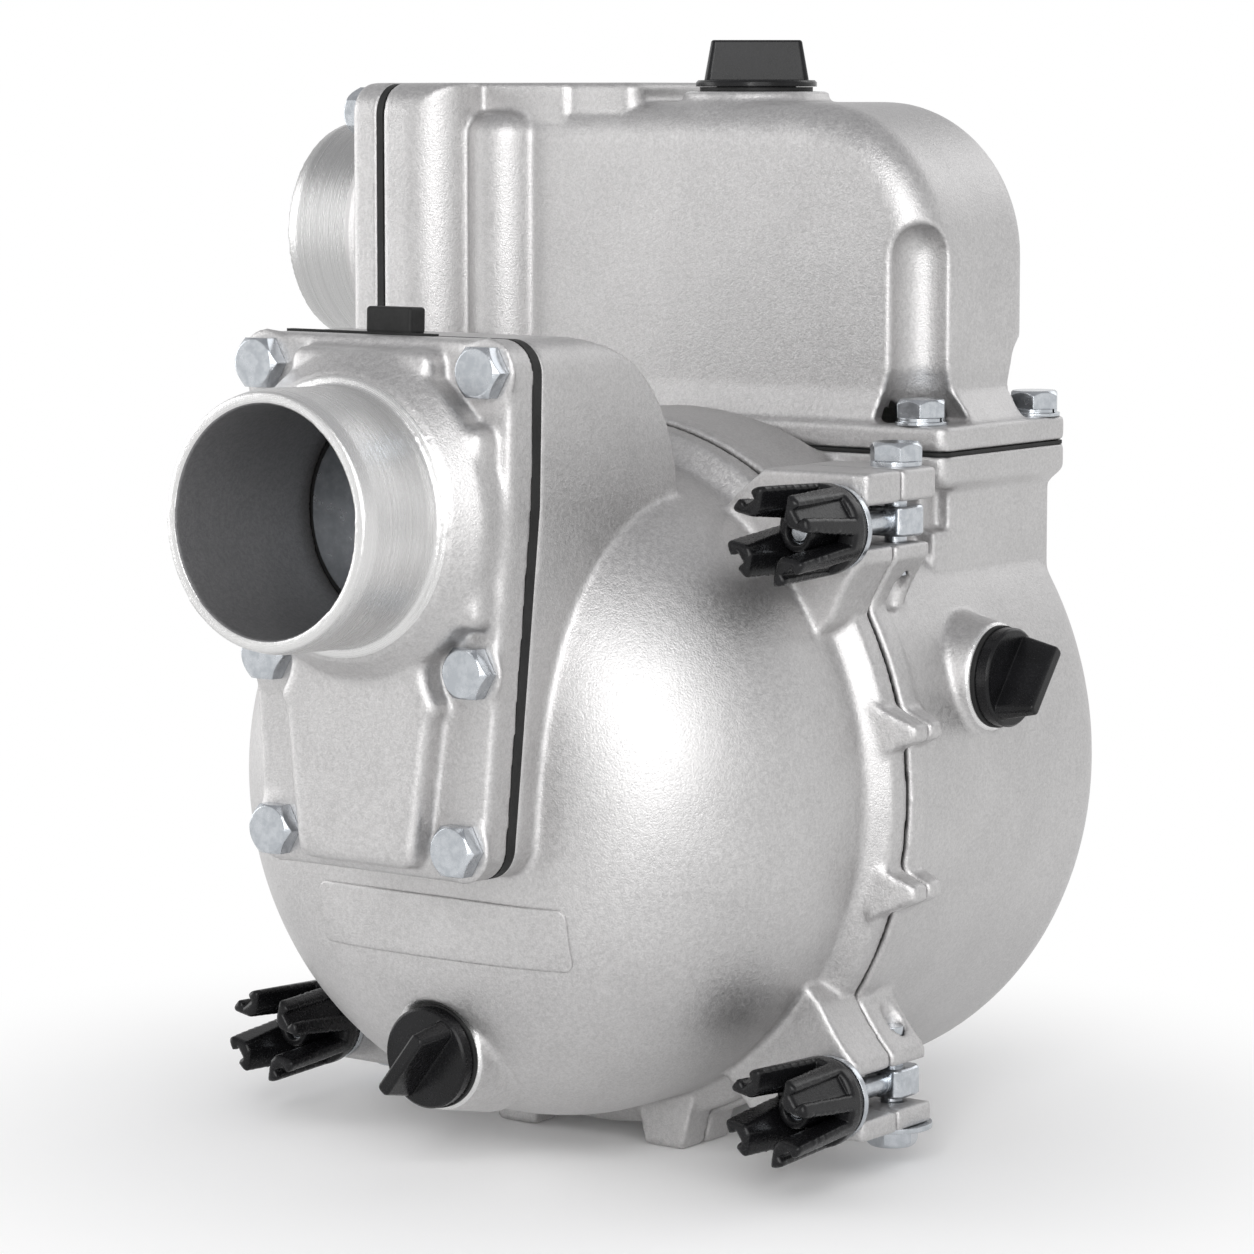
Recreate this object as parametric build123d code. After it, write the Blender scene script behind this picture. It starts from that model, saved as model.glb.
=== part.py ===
from build123d import *
import os
from math import cos, pi, radians, sin, sqrt

# Wet end of an engine driven, self priming slurry and trash pump with 3 inch ports.
# Millimetres. +Z is up, -Y is the suction side, +X is the right hand side.
# Every piece is drawn from the seam between casing and cover, and from the shaft line.
# It is then moved back, so that the origin lies on the engine face at the shaft line.

# Clearances shared by the pieces that fit together
seam_gap = 0.4
face_gap = 0.3
running_gap = 0.08
loose_gap = 0.5

# Drum: rear casing and front cover
casing_depth = 150.0
drum_radius = 131.0
drum_wall = 7.0
rim_strip_radius = 132.0
rim_strip_length = 9.5
back_wall = 9.0
bowl_depth = casing_depth - back_wall
bowl_round = 25.0
rim_radius = 130.0
rim_length = 9.0
band_radius = 121.5
dome_round = 75.0
dome_depth = 110.0
cover_wall = 6.5
cover_web = 8.0

# Rubber ring between casing and cover
seal_ring_radius = 127.2
seal_ring_section = 3.0
seal_groove_depth = 2.4

# Suction neck, flange and valve, drawn about the nozzle's centre on the neck's face
suction_face_y = -117.9
suction_height = 103.0
suction_tilt = 1.5
neck_half_top = 58.5
neck_half_bottom = 49.0
neck_top = 61.0
neck_knee = 5.1
neck_bottom = -123.4
neck_corner = 12.0
hood_round = 58.0
hood_start_y = -97.0
suction_gasket_thick = 4.5
flange_thick = 12.5
pan_height = 10.0
collar_height = 8.5
collar_width = 12.0
collar_top = 4.5
shoulder_height = 1.6
shoulder_width = 3.0
nozzle_radius = 44.45
nozzle_bore = 39.2
nozzle_chamfer = 5.0
nozzle_lip = 1.2
suction_nozzle_reach = 73.8
suction_bolt_rows = ((50.2, 48.9), (-50.8, 45.0), (-111.5, 40.6))
pan_top = 57.0
pan_half_wide = 53.5
pan_shoulder = -38.5
pan_half_waist = 32.0
pan_waist = -68.5
pan_half_low = 25.5
pan_low = -119.5
pan_pockets = (18.0, 15.0)
pan_corner = 5.0
pan_edge = 4.0
boss_radius = 12.0
boss_height = 1.0

# Flap valve behind the suction flange
flap_radius = 45.0
flap_hinge_height = 50.0
flap_tongue_width = 44.0
flap_gap = 1.2
weight_radius = 36.0
weight_thick = 3.0
rivet_radius = 4.0
rivet_head_radius = 8.0
rivet_head_thick = 2.5
tab_width = 20.0
tab_depth = 8.5
tab_height = 9.5
tab_offset = -3.5
band_width = 66.0
band_offset = -16.0
band_rise = 0.8

# Hexagon fasteners
bolt_radius = 5.0
hex_flats = 17.0
hex_height = 6.6
washer_radius = 9.6
washer_thick = 1.3
spring_washer_radius = 8.6
spring_washer_thick = 1.5

# Swing bolt clamps
clamp_x = 114.7
clamp_top_z = 97.0
clamp_bottom_z = 104.0
pivot_y = 14.0
ear_tip_x = 126.8
ear_front = 23.3
ear_back = 22.0
ear_gap = 0.7
ear_cut_reach = 60.0
slot_half = 7.6
ear_thick_top = 11.5
ear_thick_bottom = 7.4
ear_face_height = 4.7
ear_lug_tip_x = 124.0
ear_root_drop = 25.0
ear_hollow = 0.6
ear_inner_x = 84.0
ear_foot_x = 73.0
eye_half = 8.0
eye_corner = 3.5
eye_height = 10.6
eye_room = 13.2
rod_radius = 4.0
rod_room = 2.2
rod_reach = 60.0
rod_chamfer = 1.0
pivot_radius = 4.0
pivot_washer_radius = 14.6
pivot_washer_thick = 1.8
pivot_washer_top_radius = 9.2
pivot_grip = 12.0

# Clamp knobs
knob_washer_radius = 15.2
knob_washer_thick = 2.4
knob_back_radius = 15.0
knob_front_radius = 16.5
knob_length = 38.5
knob_disc = 3.0
knob_hollow_back = 9.3
knob_hollow_front = 9.6
knob_hub_radius = 6.8
knob_hub_length = 21.5
knob_prongs = 4
knob_turn = 34.0
prong_gap_depth = 30.0
prong_gap_front = 12.0
prong_gap_back = 5.0
prong_web_radius = 13.0
prong_groove_front = 5.6
prong_groove_back = 9.0
prong_groove_length = 31.0

# Discharge tank
tank_half = 112.8
tank_front = 48.0
tank_back = 133.6
tank_base = 116.6
tank_gasket_thick = 1.3
tank_flange_thick = 9.2
tank_corner = 5.0
tank_skirt_top = 139.0
body_inset = 11.8
body_half = tank_half - body_inset
body_front = 53.5
body_back = 128.0
body_top = 243.0
body_arch = 57.0
body_round = 15.0
tank_wall = 6.0
tank_bolt_inset = 16.3
tank_bolt_x = tank_half - tank_bolt_inset
tank_bolt_back_inset = 9.3
tank_bolt_back_x = tank_half - tank_bolt_back_inset
tank_bolt_left_inset = 18.8
tank_bolt_left_x = tank_half - tank_bolt_left_inset
tank_bolt_front_y = 58.0
tank_bolt_back_y = 124.0
tank_bolt_grip = 10.0
tank_bolt_room_top = 150.0
pocket_radius = 11.6
pocket_top = 188.0
back_pocket_top = 146.0
pocket_flare = 18.0
column_radius = 15.5
column_top = 239.0
niche_top = 142.0
block_height = 13.0
block_inset = 5.0

# Filler neck and cap
filler_y = 90.8
filler_boss_radius = 27.4
filler_boss_height = 4.0
cap_radius = 22.8
cap_thick = 2.4
cap_grip_foot = 39.5
cap_grip_top = 34.0
cap_grip_thick = 10.0
cap_grip_height = 15.0
cap_grip_angle = 37.0
cap_stem_radius = 15.0
cap_stem_length = 12.0
cap_gasket_thick = 1.6

# Discharge port on the left of the tank
discharge_y = 90.0
discharge_z = 191.3
discharge_face_x = -134.0
discharge_half = 59.0
discharge_corner = 12.0
discharge_gasket_thick = 3.0
discharge_nozzle_reach = 59.0
discharge_pan_height = 4.0
discharge_pan_half = 47.0
discharge_bolt_half = 47.5
deck_end_x = -33.0
deck_front_y = 58.0
deck_depth = 6.0
deck_back_y = 134.0
pad_end_x = -104.0
pad_round = 19.0

# Drain plugs
plug_radius = 17.8
plug_thick = 5.0
plug_grip_length = 33.0
plug_grip_top = 27.0
plug_grip_thick = 8.0
plug_grip_height = 14.0
plug_grip_lean = 38.0
plug_stem_radius = 12.5
plug_stem_length = 11.0
plug_gasket_thick = 1.6
plug_boss_radius = 19.4
plug_boss_root = 25.0
front_drain_z = -90.0
front_drain_y = -102.5
side_drain_y = 54.0
side_drain_z = 38.5
side_drain_x = 132.5

# Pry nubs and feet at the seam
nub_heights = (25.0, -31.5)
nub_reach = 139.0
nub_length = 12.5
nub_root = 21.0
nub_tip = 9.0
nub_tip_height = 5.0
floor_z = -135.0
foot_x = 34.0
foot_width = 17.0
foot_taper = 5.0
front_foot_length = 14.0
front_foot_back = 15.0
rear_foot_y = 112.0
rear_foot_length = 26.0
rear_foot_width = 24.0

# Hydraulics: wear plate, volute and impeller
eye_radius = 41.0
cover_boss_radius = 104.0
cover_boss_height = 8.0
wear_plate_radius = 98.0
wear_plate_thick = 3.0
wear_screw_circle = 88.0
screw_radius = 3.0
screw_head_radius = 5.4
vane_gap = 0.8
vane_height = 21.0
vane_thick = 8.0
vane_count = 2
vane_points = ((18.0, 0.0), (47.0, 60.0), (71.0, 104.0))
impeller_radius = 74.0
impeller_shroud = 5.0
impeller_hub_radius = 22.0
impeller_hub_length = 8.0
volute_start = 80.0
volute_growth = 10.0
volute_wall = 5.0
volute_back = 6.0
volute_hole = 33.0
volute_throat_width = 30.0
volute_throat_top = 48.0
seal_wall_y = 62.0
seal_wall = 9.0
seal_ring_boss_inner = 48.0
seal_ring_boss_outer = 62.0

# Shaft, shaft seal and engine side
shaft_radius = 16.0
shaft_end_y = 122.0
shaft_spigot_radius = 10.0
engine_shaft_radius = 12.7
engine_shaft_length = 52.0
key_width = 6.35
key_height = 3.2
set_screw_radius = 3.0
impeller_bolt_radius = 4.0
impeller_bolt_head = 6.5
impeller_bolt_height = 8.0
impeller_washer_radius = 13.0
impeller_washer_thick = 3.0
seat_radius = 24.0
seat_thick = 9.0
seat_depth = 3.0
face_radius = 21.0
face_thick = 4.5
spring_wire = 1.3
spring_turns = 2.0
recess_radius = 62.0
recess_wall = 7.0
engine_ring_radius = 98.0
engine_pilot_radius = 73.03
engine_pilot_depth = 5.0
engine_bolt_circle = 165.1
engine_bolt_hole = 5.25
engine_bolt_count = 4
engine_bolt_depth = 22.0

big = 400.0
neck_place = Location((0, suction_face_y, suction_height), (-suction_tilt, 0, 0))
seat_place = Location((0, -casing_depth, 0))


def box(x0, x1, y0, y1, z0, z1):
    """A block between two corners."""
    middle = ((x0 + x1) / 2, (y0 + y1) / 2, (z0 + z1) / 2)
    return Pos(*middle) * Box(abs(x1 - x0), abs(y1 - y0), abs(z1 - z0))


def rod_y(radius, y0, y1, x=0.0, z=0.0):
    """A cylinder along Y between y0 and y1."""
    return Pos(x, (y0 + y1) / 2, z) * Rot(90, 0, 0) * Cylinder(radius, abs(y1 - y0))


def rod_x(radius, x0, x1, y=0.0, z=0.0):
    """A cylinder along X between x0 and x1."""
    return Pos((x0 + x1) / 2, y, z) * Rot(0, 90, 0) * Cylinder(radius, abs(x1 - x0))


def rod_z(radius, z0, z1, x=0.0, y=0.0):
    """A cylinder along Z between z0 and z1."""
    return Pos(x, y, (z0 + z1) / 2) * Cylinder(radius, abs(z1 - z0))


def cone_z(radius0, radius1, z0, z1, x=0.0, y=0.0):
    """A cone along Z, radius0 at z0 and radius1 at z1."""
    return Pos(x, y, (z0 + z1) / 2) * Cone(radius0, radius1, z1 - z0)


def turned(*edges):
    """A solid turned about the shaft line from edges given as radius and Y."""
    return revolve(make_face(Wire(list(edges))), Axis.Y)


def polygon_turned(*points):
    """A solid turned about the shaft line from corner points."""
    return turned(*Polyline(*points, close=True).edges())


def slab_y(face, y0, y1):
    """Push a face drawn in the XZ plane from y0 to y1."""
    return Pos(0, y0, 0) * extrude(face, amount=y1 - y0, dir=(0, 1, 0))


def mirrored(points):
    """X, Z points of the right half, followed by the left half's in reverse."""
    return list(points) + [(-x, z) for x, z in reversed(points)]


def hex_bolt(length, washer=0.0, shank=bolt_radius):
    """A hexagon bolt along -Z whose head stands on Z = washer."""
    head = extrude(RegularPolygon(hex_flats / 2, 6, major_radius=False), amount=hex_height)
    crown = Pos(0, 0, hex_height / 2) * Cone(hex_flats * 0.86, hex_flats * 0.47, hex_height)
    head = Pos(0, 0, washer) * (head & crown)
    return head + rod_z(shank, -length, washer + 0.1)


def ring(outer, inner, z0, z1):
    """A flat ring about Z."""
    return rod_z(outer, z0, z1) - rod_z(inner, z0 - 1, z1 + 1)


def profile(points, rounds):
    """A face in the XY plane, with a radius on each corner named by its place in the list."""
    face = make_face(Polyline(*points, close=True))
    for place, radius in rounds.items():
        corner = face.vertices().sort_by_distance((*points[place], 0))[0]
        face = fillet(corner, radius)
    return face


def turned_profile(points, rounds):
    """Turn a rounded profile, given as radius and Y, about the shaft line."""
    return revolve(profile(points, rounds), Axis.Y)


def four_ways(shape_top, shape_bottom):
    """The right hand top and bottom shapes and their left hand mirror images."""
    right = [shape_top, mirror(shape_bottom, about=Plane.XY)]
    return right + [mirror(shape, about=Plane.YZ) for shape in right]


def ear(clamp_z, thick, y0, y1):
    """One clamp ear seen along Y: a bar, the slot's depth and a lug that runs into the drum."""
    top = clamp_z + slot_half + thick
    face_low = clamp_z - slot_half - ear_face_height
    root_z = clamp_z - slot_half - ear_root_drop
    root_x = sqrt(rim_radius**2 - root_z**2)
    foot_z = sqrt(rim_radius**2 - ear_foot_x**2)
    lug_z = clamp_z - slot_half
    hollow_x = (ear_lug_tip_x + root_x) / 2 - ear_hollow
    hollow_z = (face_low + root_z) / 2 + ear_hollow
    edges = [
        Line((ear_foot_x, foot_z), (ear_inner_x, top)),
        Line((ear_inner_x, top), (ear_tip_x, top)),
        Line((ear_tip_x, top), (ear_tip_x, lug_z + slot_half)),
        Line((ear_tip_x, lug_z + slot_half), (ear_lug_tip_x, lug_z + slot_half)),
        Line((ear_lug_tip_x, lug_z + slot_half), (ear_lug_tip_x, face_low)),
        ThreePointArc((ear_lug_tip_x, face_low), (hollow_x, hollow_z), (root_x, root_z)),
        Line((root_x, root_z), (root_x - drum_wall, root_z - drum_wall)),
        Line((root_x - drum_wall, root_z - drum_wall), (ear_foot_x - drum_wall, foot_z - drum_wall)),
        Line((ear_foot_x - drum_wall, foot_z - drum_wall), (ear_foot_x, foot_z)),
    ]
    face = Plane.XZ * make_face(Wire(edges))
    return slab_y(face, y0, y1)


def ear_cuts(clamp_z, inner_x, thick):
    """The slot for the swing bolt and the hole for its pivot bolt."""
    slot = box(inner_x, ear_tip_x + 20, -ear_cut_reach, ear_cut_reach, clamp_z - slot_half, clamp_z + slot_half)
    top = clamp_z + slot_half + thick
    hole = rod_z(pivot_radius + face_gap, clamp_z - slot_half - ear_root_drop, top + 1, clamp_x, pivot_y)
    return slot, hole


def ear_relief(clamp_z):
    """What the outboard half of a cover ear leaves free, so that the washer swings past it."""
    reach = pivot_y + ear_front
    low = clamp_z - knob_washer_radius - loose_gap
    corner = box(clamp_x, ear_tip_x + 20, -ear_cut_reach, 0, low, 200)
    return corner - rod_z(reach, low - 1, 201, clamp_x, pivot_y)


def nub(height, y_side):
    """A wedge for a pry bar: y_side -1 on the cover, +1 on the casing."""
    root = Plane.YZ.offset(drum_radius - drum_wall - 3) * Pos(
        y_side * (ear_gap + nub_length) / 2, height
    ) * Rectangle(nub_length - ear_gap, nub_root)
    tip = Plane.YZ.offset(nub_reach) * Pos(
        y_side * (ear_gap + nub_tip) / 2, height
    ) * Rectangle(nub_tip - ear_gap, nub_tip_height)
    return loft([root, tip])


def foot(x, y0, y1, width):
    """A tapered foot under the drum."""
    y = (y0 + y1) / 2
    length = abs(y1 - y0)
    low = Plane.XY.offset(floor_z) * Pos(x, y) * Rectangle(width, length)
    high = Plane.XY.offset(floor_z + 20) * Pos(x, y) * Rectangle(width + 2 * foot_taper, length)
    return loft([low, high])


def bolt_pockets(radius, flare):
    """Scoops for a socket over the two right hand tank bolts, wider at the foot."""
    cuts = []
    low = tank_base + tank_gasket_thick + tank_flange_thick
    places = ((tank_bolt_x, tank_bolt_front_y, pocket_top), (tank_bolt_back_x, tank_bolt_back_y, back_pocket_top))
    for x, y, top in places:
        cuts.append(rod_z(radius, low, top, x, y))
        cuts.append(Pos(x, y, top) * Sphere(radius))
        if flare:
            cuts.append(cone_z(flare, radius, low, tank_skirt_top + 8, x, y))
    return cuts


def bolt_niches(radius, reach):
    """Niches in the feet of the left hand columns, open away from the tank's middle."""
    cuts = []
    low = tank_base + tank_gasket_thick + tank_flange_thick
    x = -tank_bolt_left_x
    for y, side in ((tank_bolt_front_y, -1), (tank_bolt_back_y, 1)):
        cuts.append(rod_z(radius, low, niche_top, x, y))
        cuts.append(Pos(x, y, niche_top) * Sphere(radius))
        if reach:
            cuts.append(box(x - radius, x + radius, y, y + side * reach, low, niche_top))
            cuts.append(Pos(x, y + side * reach / 2, niche_top) * Rot(90, 0, 0) * Cylinder(radius, reach))
    return cuts


def drain_boss(radius, root, length):
    """A round boss along +Z that spreads towards its root at Z = -length."""
    return Pos(0, 0, -length / 2) * Cone(root, radius, length)


def rear_casing():
    """Drum shell with seal housing, deck for the tank, ears, feet and engine ring."""
    shell = turned_profile(
        [(0, 0), (drum_radius, 0), (drum_radius, bowl_depth), (0, bowl_depth)],
        {2: bowl_round},
    )
    shell += rod_y(rim_strip_radius, 0, rim_strip_length)
    shell += rod_y(engine_ring_radius, bowl_depth - 1, casing_depth)
    neck_half = tank_half - block_inset
    shell += box(-neck_half, neck_half, tank_front + 2, tank_back - block_inset, 0, tank_base)
    block = box(-tank_half, tank_half, tank_front, tank_back, tank_base - block_height, tank_base)
    block = fillet(block.edges().filter_by(Axis.Z), tank_corner)
    under = block.faces().sort_by(Axis.Z)[0].edges()
    shell += chamfer(under, block_inset - 1)
    shell -= box(-tank_half, tank_half, tank_front - 1, casing_depth, tank_base, tank_base + 40)
    shell += [
        *four_ways(
            ear(clamp_top_z, ear_thick_top, ear_gap, ear_back),
            ear(clamp_bottom_z, ear_thick_bottom, ear_gap, ear_back),
        )
    ]
    for height in nub_heights:
        shell += nub(height, 1)
        shell += mirror(nub(height, 1), about=Plane.YZ)
    for side in (-1, 1):
        shell += foot(side * foot_x, ear_gap, front_foot_back, foot_width)
        y = rear_foot_y
        shell += foot(side * foot_x, y - rear_foot_length / 2, y + rear_foot_length / 2, rear_foot_width)
    plug_place = Location((side_drain_x, side_drain_y, side_drain_z), (0, 90, 0))
    shell += plug_place * drain_boss(plug_boss_radius, plug_boss_root, 28)
    shell -= casing_cavity()
    for n in range(engine_bolt_count):
        a = radians(45 + 360 / engine_bolt_count * n)
        x = engine_bolt_circle / 2 * cos(a)
        z = engine_bolt_circle / 2 * sin(a)
        shell += rod_y(engine_bolt_hole + 7, casing_depth - engine_bolt_depth - 5, bowl_depth - 1, x, z)
        shell -= rod_y(engine_bolt_hole, casing_depth - engine_bolt_depth, casing_depth + 1, x, z)
    shell -= rod_y(recess_radius, seal_wall_y + seal_wall, casing_depth + 1)
    shell -= rod_y(engine_pilot_radius, casing_depth - engine_pilot_depth, casing_depth + 1)
    shell -= rod_y(shaft_radius + 1, seal_wall_y - 1, seal_wall_y + seal_wall + 1)
    shell -= rod_y(seat_radius + loose_gap / 2, seal_wall_y - 1, seal_wall_y + seat_depth)
    shell -= plug_place * rod_z(plug_stem_radius + face_gap, -40, 1)
    for x, z in volute_screw_places():
        shell -= rod_y(screw_radius + 0.2, volute_seat_y() - 1, seal_wall_y + 3, x, z)
    slot_x = clamp_x - eye_room
    top_cuts = ear_cuts(clamp_top_z, slot_x, ear_thick_top)
    bottom_cuts = ear_cuts(clamp_bottom_z, slot_x, ear_thick_bottom)
    for top_cut, bottom_cut in zip(top_cuts, bottom_cuts):
        for cut in four_ways(top_cut, bottom_cut):
            shell -= cut
    for x, y in tank_bolt_places():
        shell -= rod_z(bolt_radius + loose_gap, tank_base - tank_bolt_grip - 1, tank_base + 1, x, y)
    half = seal_ring_section / 2 + 0.1
    groove = ring(seal_ring_radius + half, seal_ring_radius - half, 0, seal_groove_depth + 1)
    shell -= Rot(-90, 0, 0) * Pos(0, 0, -1) * groove
    return shell


def casing_cavity():
    """Inside of the drum round the seal housing, and the way up into the tank."""
    r = drum_radius - drum_wall
    y = bowl_depth - drum_wall
    tube = recess_radius + recess_wall
    cavity = turned_profile(
        [
            (0, -1),
            (r, -1),
            (r, y),
            (tube, y),
            (tube, seal_wall_y),
            (seal_ring_boss_outer, seal_wall_y),
            (seal_ring_boss_outer, volute_seat_y()),
            (seal_ring_boss_inner, volute_seat_y()),
            (seal_ring_boss_inner, seal_wall_y),
            (0, seal_wall_y),
        ],
        {2: bowl_round - drum_wall},
    )
    half = tank_bolt_left_x - 14
    way = box(-half, half, tank_front + 8, tank_back - 14, 80, tank_base + 1)
    return cavity + way


def front_cover():
    """Dome with the suction neck, its hood, the chamber inside and the web behind it."""
    dome = turned_profile(
        [
            (0, -seam_gap),
            (rim_radius, -seam_gap),
            (rim_radius, -rim_length),
            (band_radius, -rim_length - 6),
            (band_radius, -dome_depth),
            (0, -dome_depth),
        ],
        {4: dome_round},
    )
    cover = dome + neck_body()
    cover += [
        *four_ways(
            ear(clamp_top_z, ear_thick_top, -ear_front, -ear_gap),
            ear(clamp_bottom_z, ear_thick_bottom, -ear_front, -ear_gap),
        )
    ]
    for height in nub_heights:
        cover += nub(height, -1)
        cover += mirror(nub(height, -1), about=Plane.YZ)
    for side in (-1, 1):
        cover += foot(side * foot_x, -front_foot_length, -ear_gap, foot_width)
    plug_place = Location((0, front_drain_y, front_drain_z), (90, 0, 0))
    cover += plug_place * drain_boss(plug_boss_radius, plug_boss_root, 26)
    cover -= chamber()
    cover += rod_y(cover_boss_radius, -cover_web, cover_boss_height)
    cover -= rod_y(eye_radius, -cover_web - 1, cover_boss_height + 1)
    cover -= plug_place * rod_z(plug_stem_radius + face_gap, -40, 1)
    cover -= plug_place * rod_z(plug_boss_radius, 0, 12)
    slot_x = clamp_x - rod_radius - rod_room
    top_cuts = (ear_cuts(clamp_top_z, slot_x, ear_thick_top)[0], ear_relief(clamp_top_z))
    bottom_cuts = (ear_cuts(clamp_bottom_z, slot_x, ear_thick_bottom)[0], ear_relief(clamp_bottom_z))
    for top_cut, bottom_cut in zip(top_cuts, bottom_cuts):
        for cut in four_ways(top_cut, bottom_cut):
            cover -= cut
    for z, x in suction_bolt_rows:
        for side in (-1, 1):
            cover -= neck_place * rod_y(bolt_radius + loose_gap, -1, 13, side * x, z)
    for x, z in wear_screw_places():
        cover -= rod_y(screw_radius + 0.2, cover_boss_height - 9, cover_boss_height + 1, x, z)
    return cover


def neck_outline(inset=0.0):
    """Outline of neck, gasket and flange about the nozzle's centre, narrower below the knee."""
    points = [
        (neck_half_top - inset, neck_top - inset),
        (neck_half_top - inset, neck_knee),
        (neck_half_bottom - inset, neck_bottom + inset),
    ]
    face = make_face(Polyline(*mirrored(points), close=True))
    corners = face.vertices().filter_by(lambda v: abs(v.Y - neck_knee) > 1)
    return Plane.XZ * fillet(corners, neck_corner)


def hood_side(inset, back):
    """Side view of neck and hood: level at the top, then a quarter round down to the dome."""
    top = suction_height + neck_top - inset
    middle = top + inset - hood_round
    r = hood_round - inset
    front = suction_face_y - 20
    low = suction_height + neck_bottom + inset
    knee = (hood_start_y + r * sin(pi / 4), middle + r * cos(pi / 4))
    edges = [
        Line((front, low), (front, top)),
        Line((front, top), (hood_start_y, top)),
        ThreePointArc((hood_start_y, top), knee, (hood_start_y + r, middle)),
        Line((hood_start_y + r, middle), (back, middle)),
        Line((back, middle), (back, low)),
        Line((back, low), (front, low)),
    ]
    face = Plane.YZ * make_face(Wire(edges))
    return extrude(face, amount=100, both=True)


def neck_body():
    """Outside of the neck and hood, cut square to the tilted flange."""
    outline = Pos(0, 0, suction_height) * neck_outline()
    body = slab_y(outline, suction_face_y - 20, -20) & hood_side(0, -20)
    return body - neck_place * box(-big, big, -big, 0, -big, big)


def chamber():
    """Water space of the cover: behind the flap, under the hood and inside the dome."""
    r = band_radius - cover_wall
    dome = turned_profile(
        [(0, -cover_web), (r, -cover_web), (r, cover_wall - dome_depth), (0, cover_wall - dome_depth)],
        {2: dome_round - cover_wall},
    )
    room = flap_radius + 2
    lift = 14.0
    port = slab_y(Pos(0, 0, suction_height) * (Plane.XZ * Circle(room)), suction_face_y - 15, -50)
    port += slab_y(Pos(0, 0, suction_height + lift) * (Plane.XZ * Circle(room)), suction_face_y - 15, -50)
    return dome + (port & hood_side(cover_wall - 0.6, -50))


def cover_seal():
    """Square section rubber ring between casing and cover."""
    half = seal_ring_section / 2
    band = ring(seal_ring_radius + half, seal_ring_radius - half, -seam_gap, seal_groove_depth)
    return Rot(-90, 0, 0) * band


def tank_bolt_places():
    """X, Y of the four bolts that hold the tank down."""
    left = [(-tank_bolt_left_x, y) for y in (tank_bolt_front_y, tank_bolt_back_y)]
    return left + [(tank_bolt_x, tank_bolt_front_y), (tank_bolt_back_x, tank_bolt_back_y)]


def tank_outline(inset, z):
    """Rounded outline of the tank's foot at one height."""
    width = 2 * (tank_half - inset)
    length = tank_back - tank_front - 2 * inset
    middle = (tank_back + tank_front) / 2
    return Plane.XY.offset(z) * Pos(0, middle) * RectangleRounded(width, length, tank_corner)


def tank_outside():
    """Flange, flared skirt, arched body and the square end under the discharge port."""
    low = tank_base + tank_gasket_thick
    flange_top = low + tank_flange_thick
    tank = extrude(tank_outline(0, low), amount=tank_flange_thick)
    body_middle = (body_front + body_back) / 2
    skirt_high = Plane.XY.offset(tank_skirt_top) * Pos(0, body_middle) * RectangleRounded(
        2 * body_half, body_back - body_front, tank_corner
    )
    tank += loft([tank_outline(2.5, flange_top), skirt_high])
    arch = [
        (-body_half, tank_skirt_top - 1),
        (body_half, tank_skirt_top - 1),
        (body_half, body_top),
        (-body_half, body_top),
    ]
    body = slab_y(Plane.XZ * profile(arch, {2: body_arch}), body_front, body_back)
    ends = body.faces().filter_by(Axis.Y).edges()
    rims = ends.filter_by(lambda e: e.center().Z > tank_skirt_top and e.center().X > 1 - body_half)
    tank += fillet(rims, body_round)
    for y in (tank_bolt_front_y, tank_bolt_back_y):
        column = rod_z(column_radius, flange_top, column_top, -tank_bolt_left_x, y)
        tank += fillet(column.edges().sort_by(Axis.Z)[-1], column_radius * 0.6)
    deck_face = Plane.XY.offset(body_top - deck_depth) * Pos(
        (deck_end_x + discharge_face_x) / 2, (deck_front_y + deck_back_y) / 2
    ) * RectangleRounded(deck_end_x - discharge_face_x, deck_back_y - deck_front_y, 6)
    deck = extrude(deck_face, amount=discharge_z + discharge_half - body_top + deck_depth)
    deck = chamfer(deck.faces().sort_by(Axis.Z)[-1].edges(), 1.5)
    return tank + deck + discharge_pad()


def discharge_pad():
    """Square face for the discharge flange, rounded back to the tank's end."""
    front = discharge_y - discharge_half
    back = discharge_y + discharge_half
    end = pad_end_x + 40
    plan = profile(
        [
            (discharge_face_x, front),
            (pad_end_x, front),
            (pad_end_x, body_front + 2),
            (end, body_front + 2),
            (end, body_back - 2),
            (pad_end_x, body_back - 2),
            (pad_end_x, back),
            (discharge_face_x, back),
        ],
        {1: pad_round, 6: pad_round},
    )
    low = discharge_z - discharge_half
    block = Pos(0, 0, low) * extrude(plan, amount=2 * discharge_half, dir=(0, 0, 1))
    return block & square_x(discharge_half, discharge_face_x - 1, end + 1)


def square_x(half, x0, x1, corner=discharge_corner):
    """A rounded square bar along X about the discharge line."""
    face = Plane.YZ.offset(x0) * Pos(discharge_y, discharge_z) * RectangleRounded(2 * half, 2 * half, corner)
    return extrude(face, amount=x1 - x0, dir=(1, 0, 0))


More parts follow.
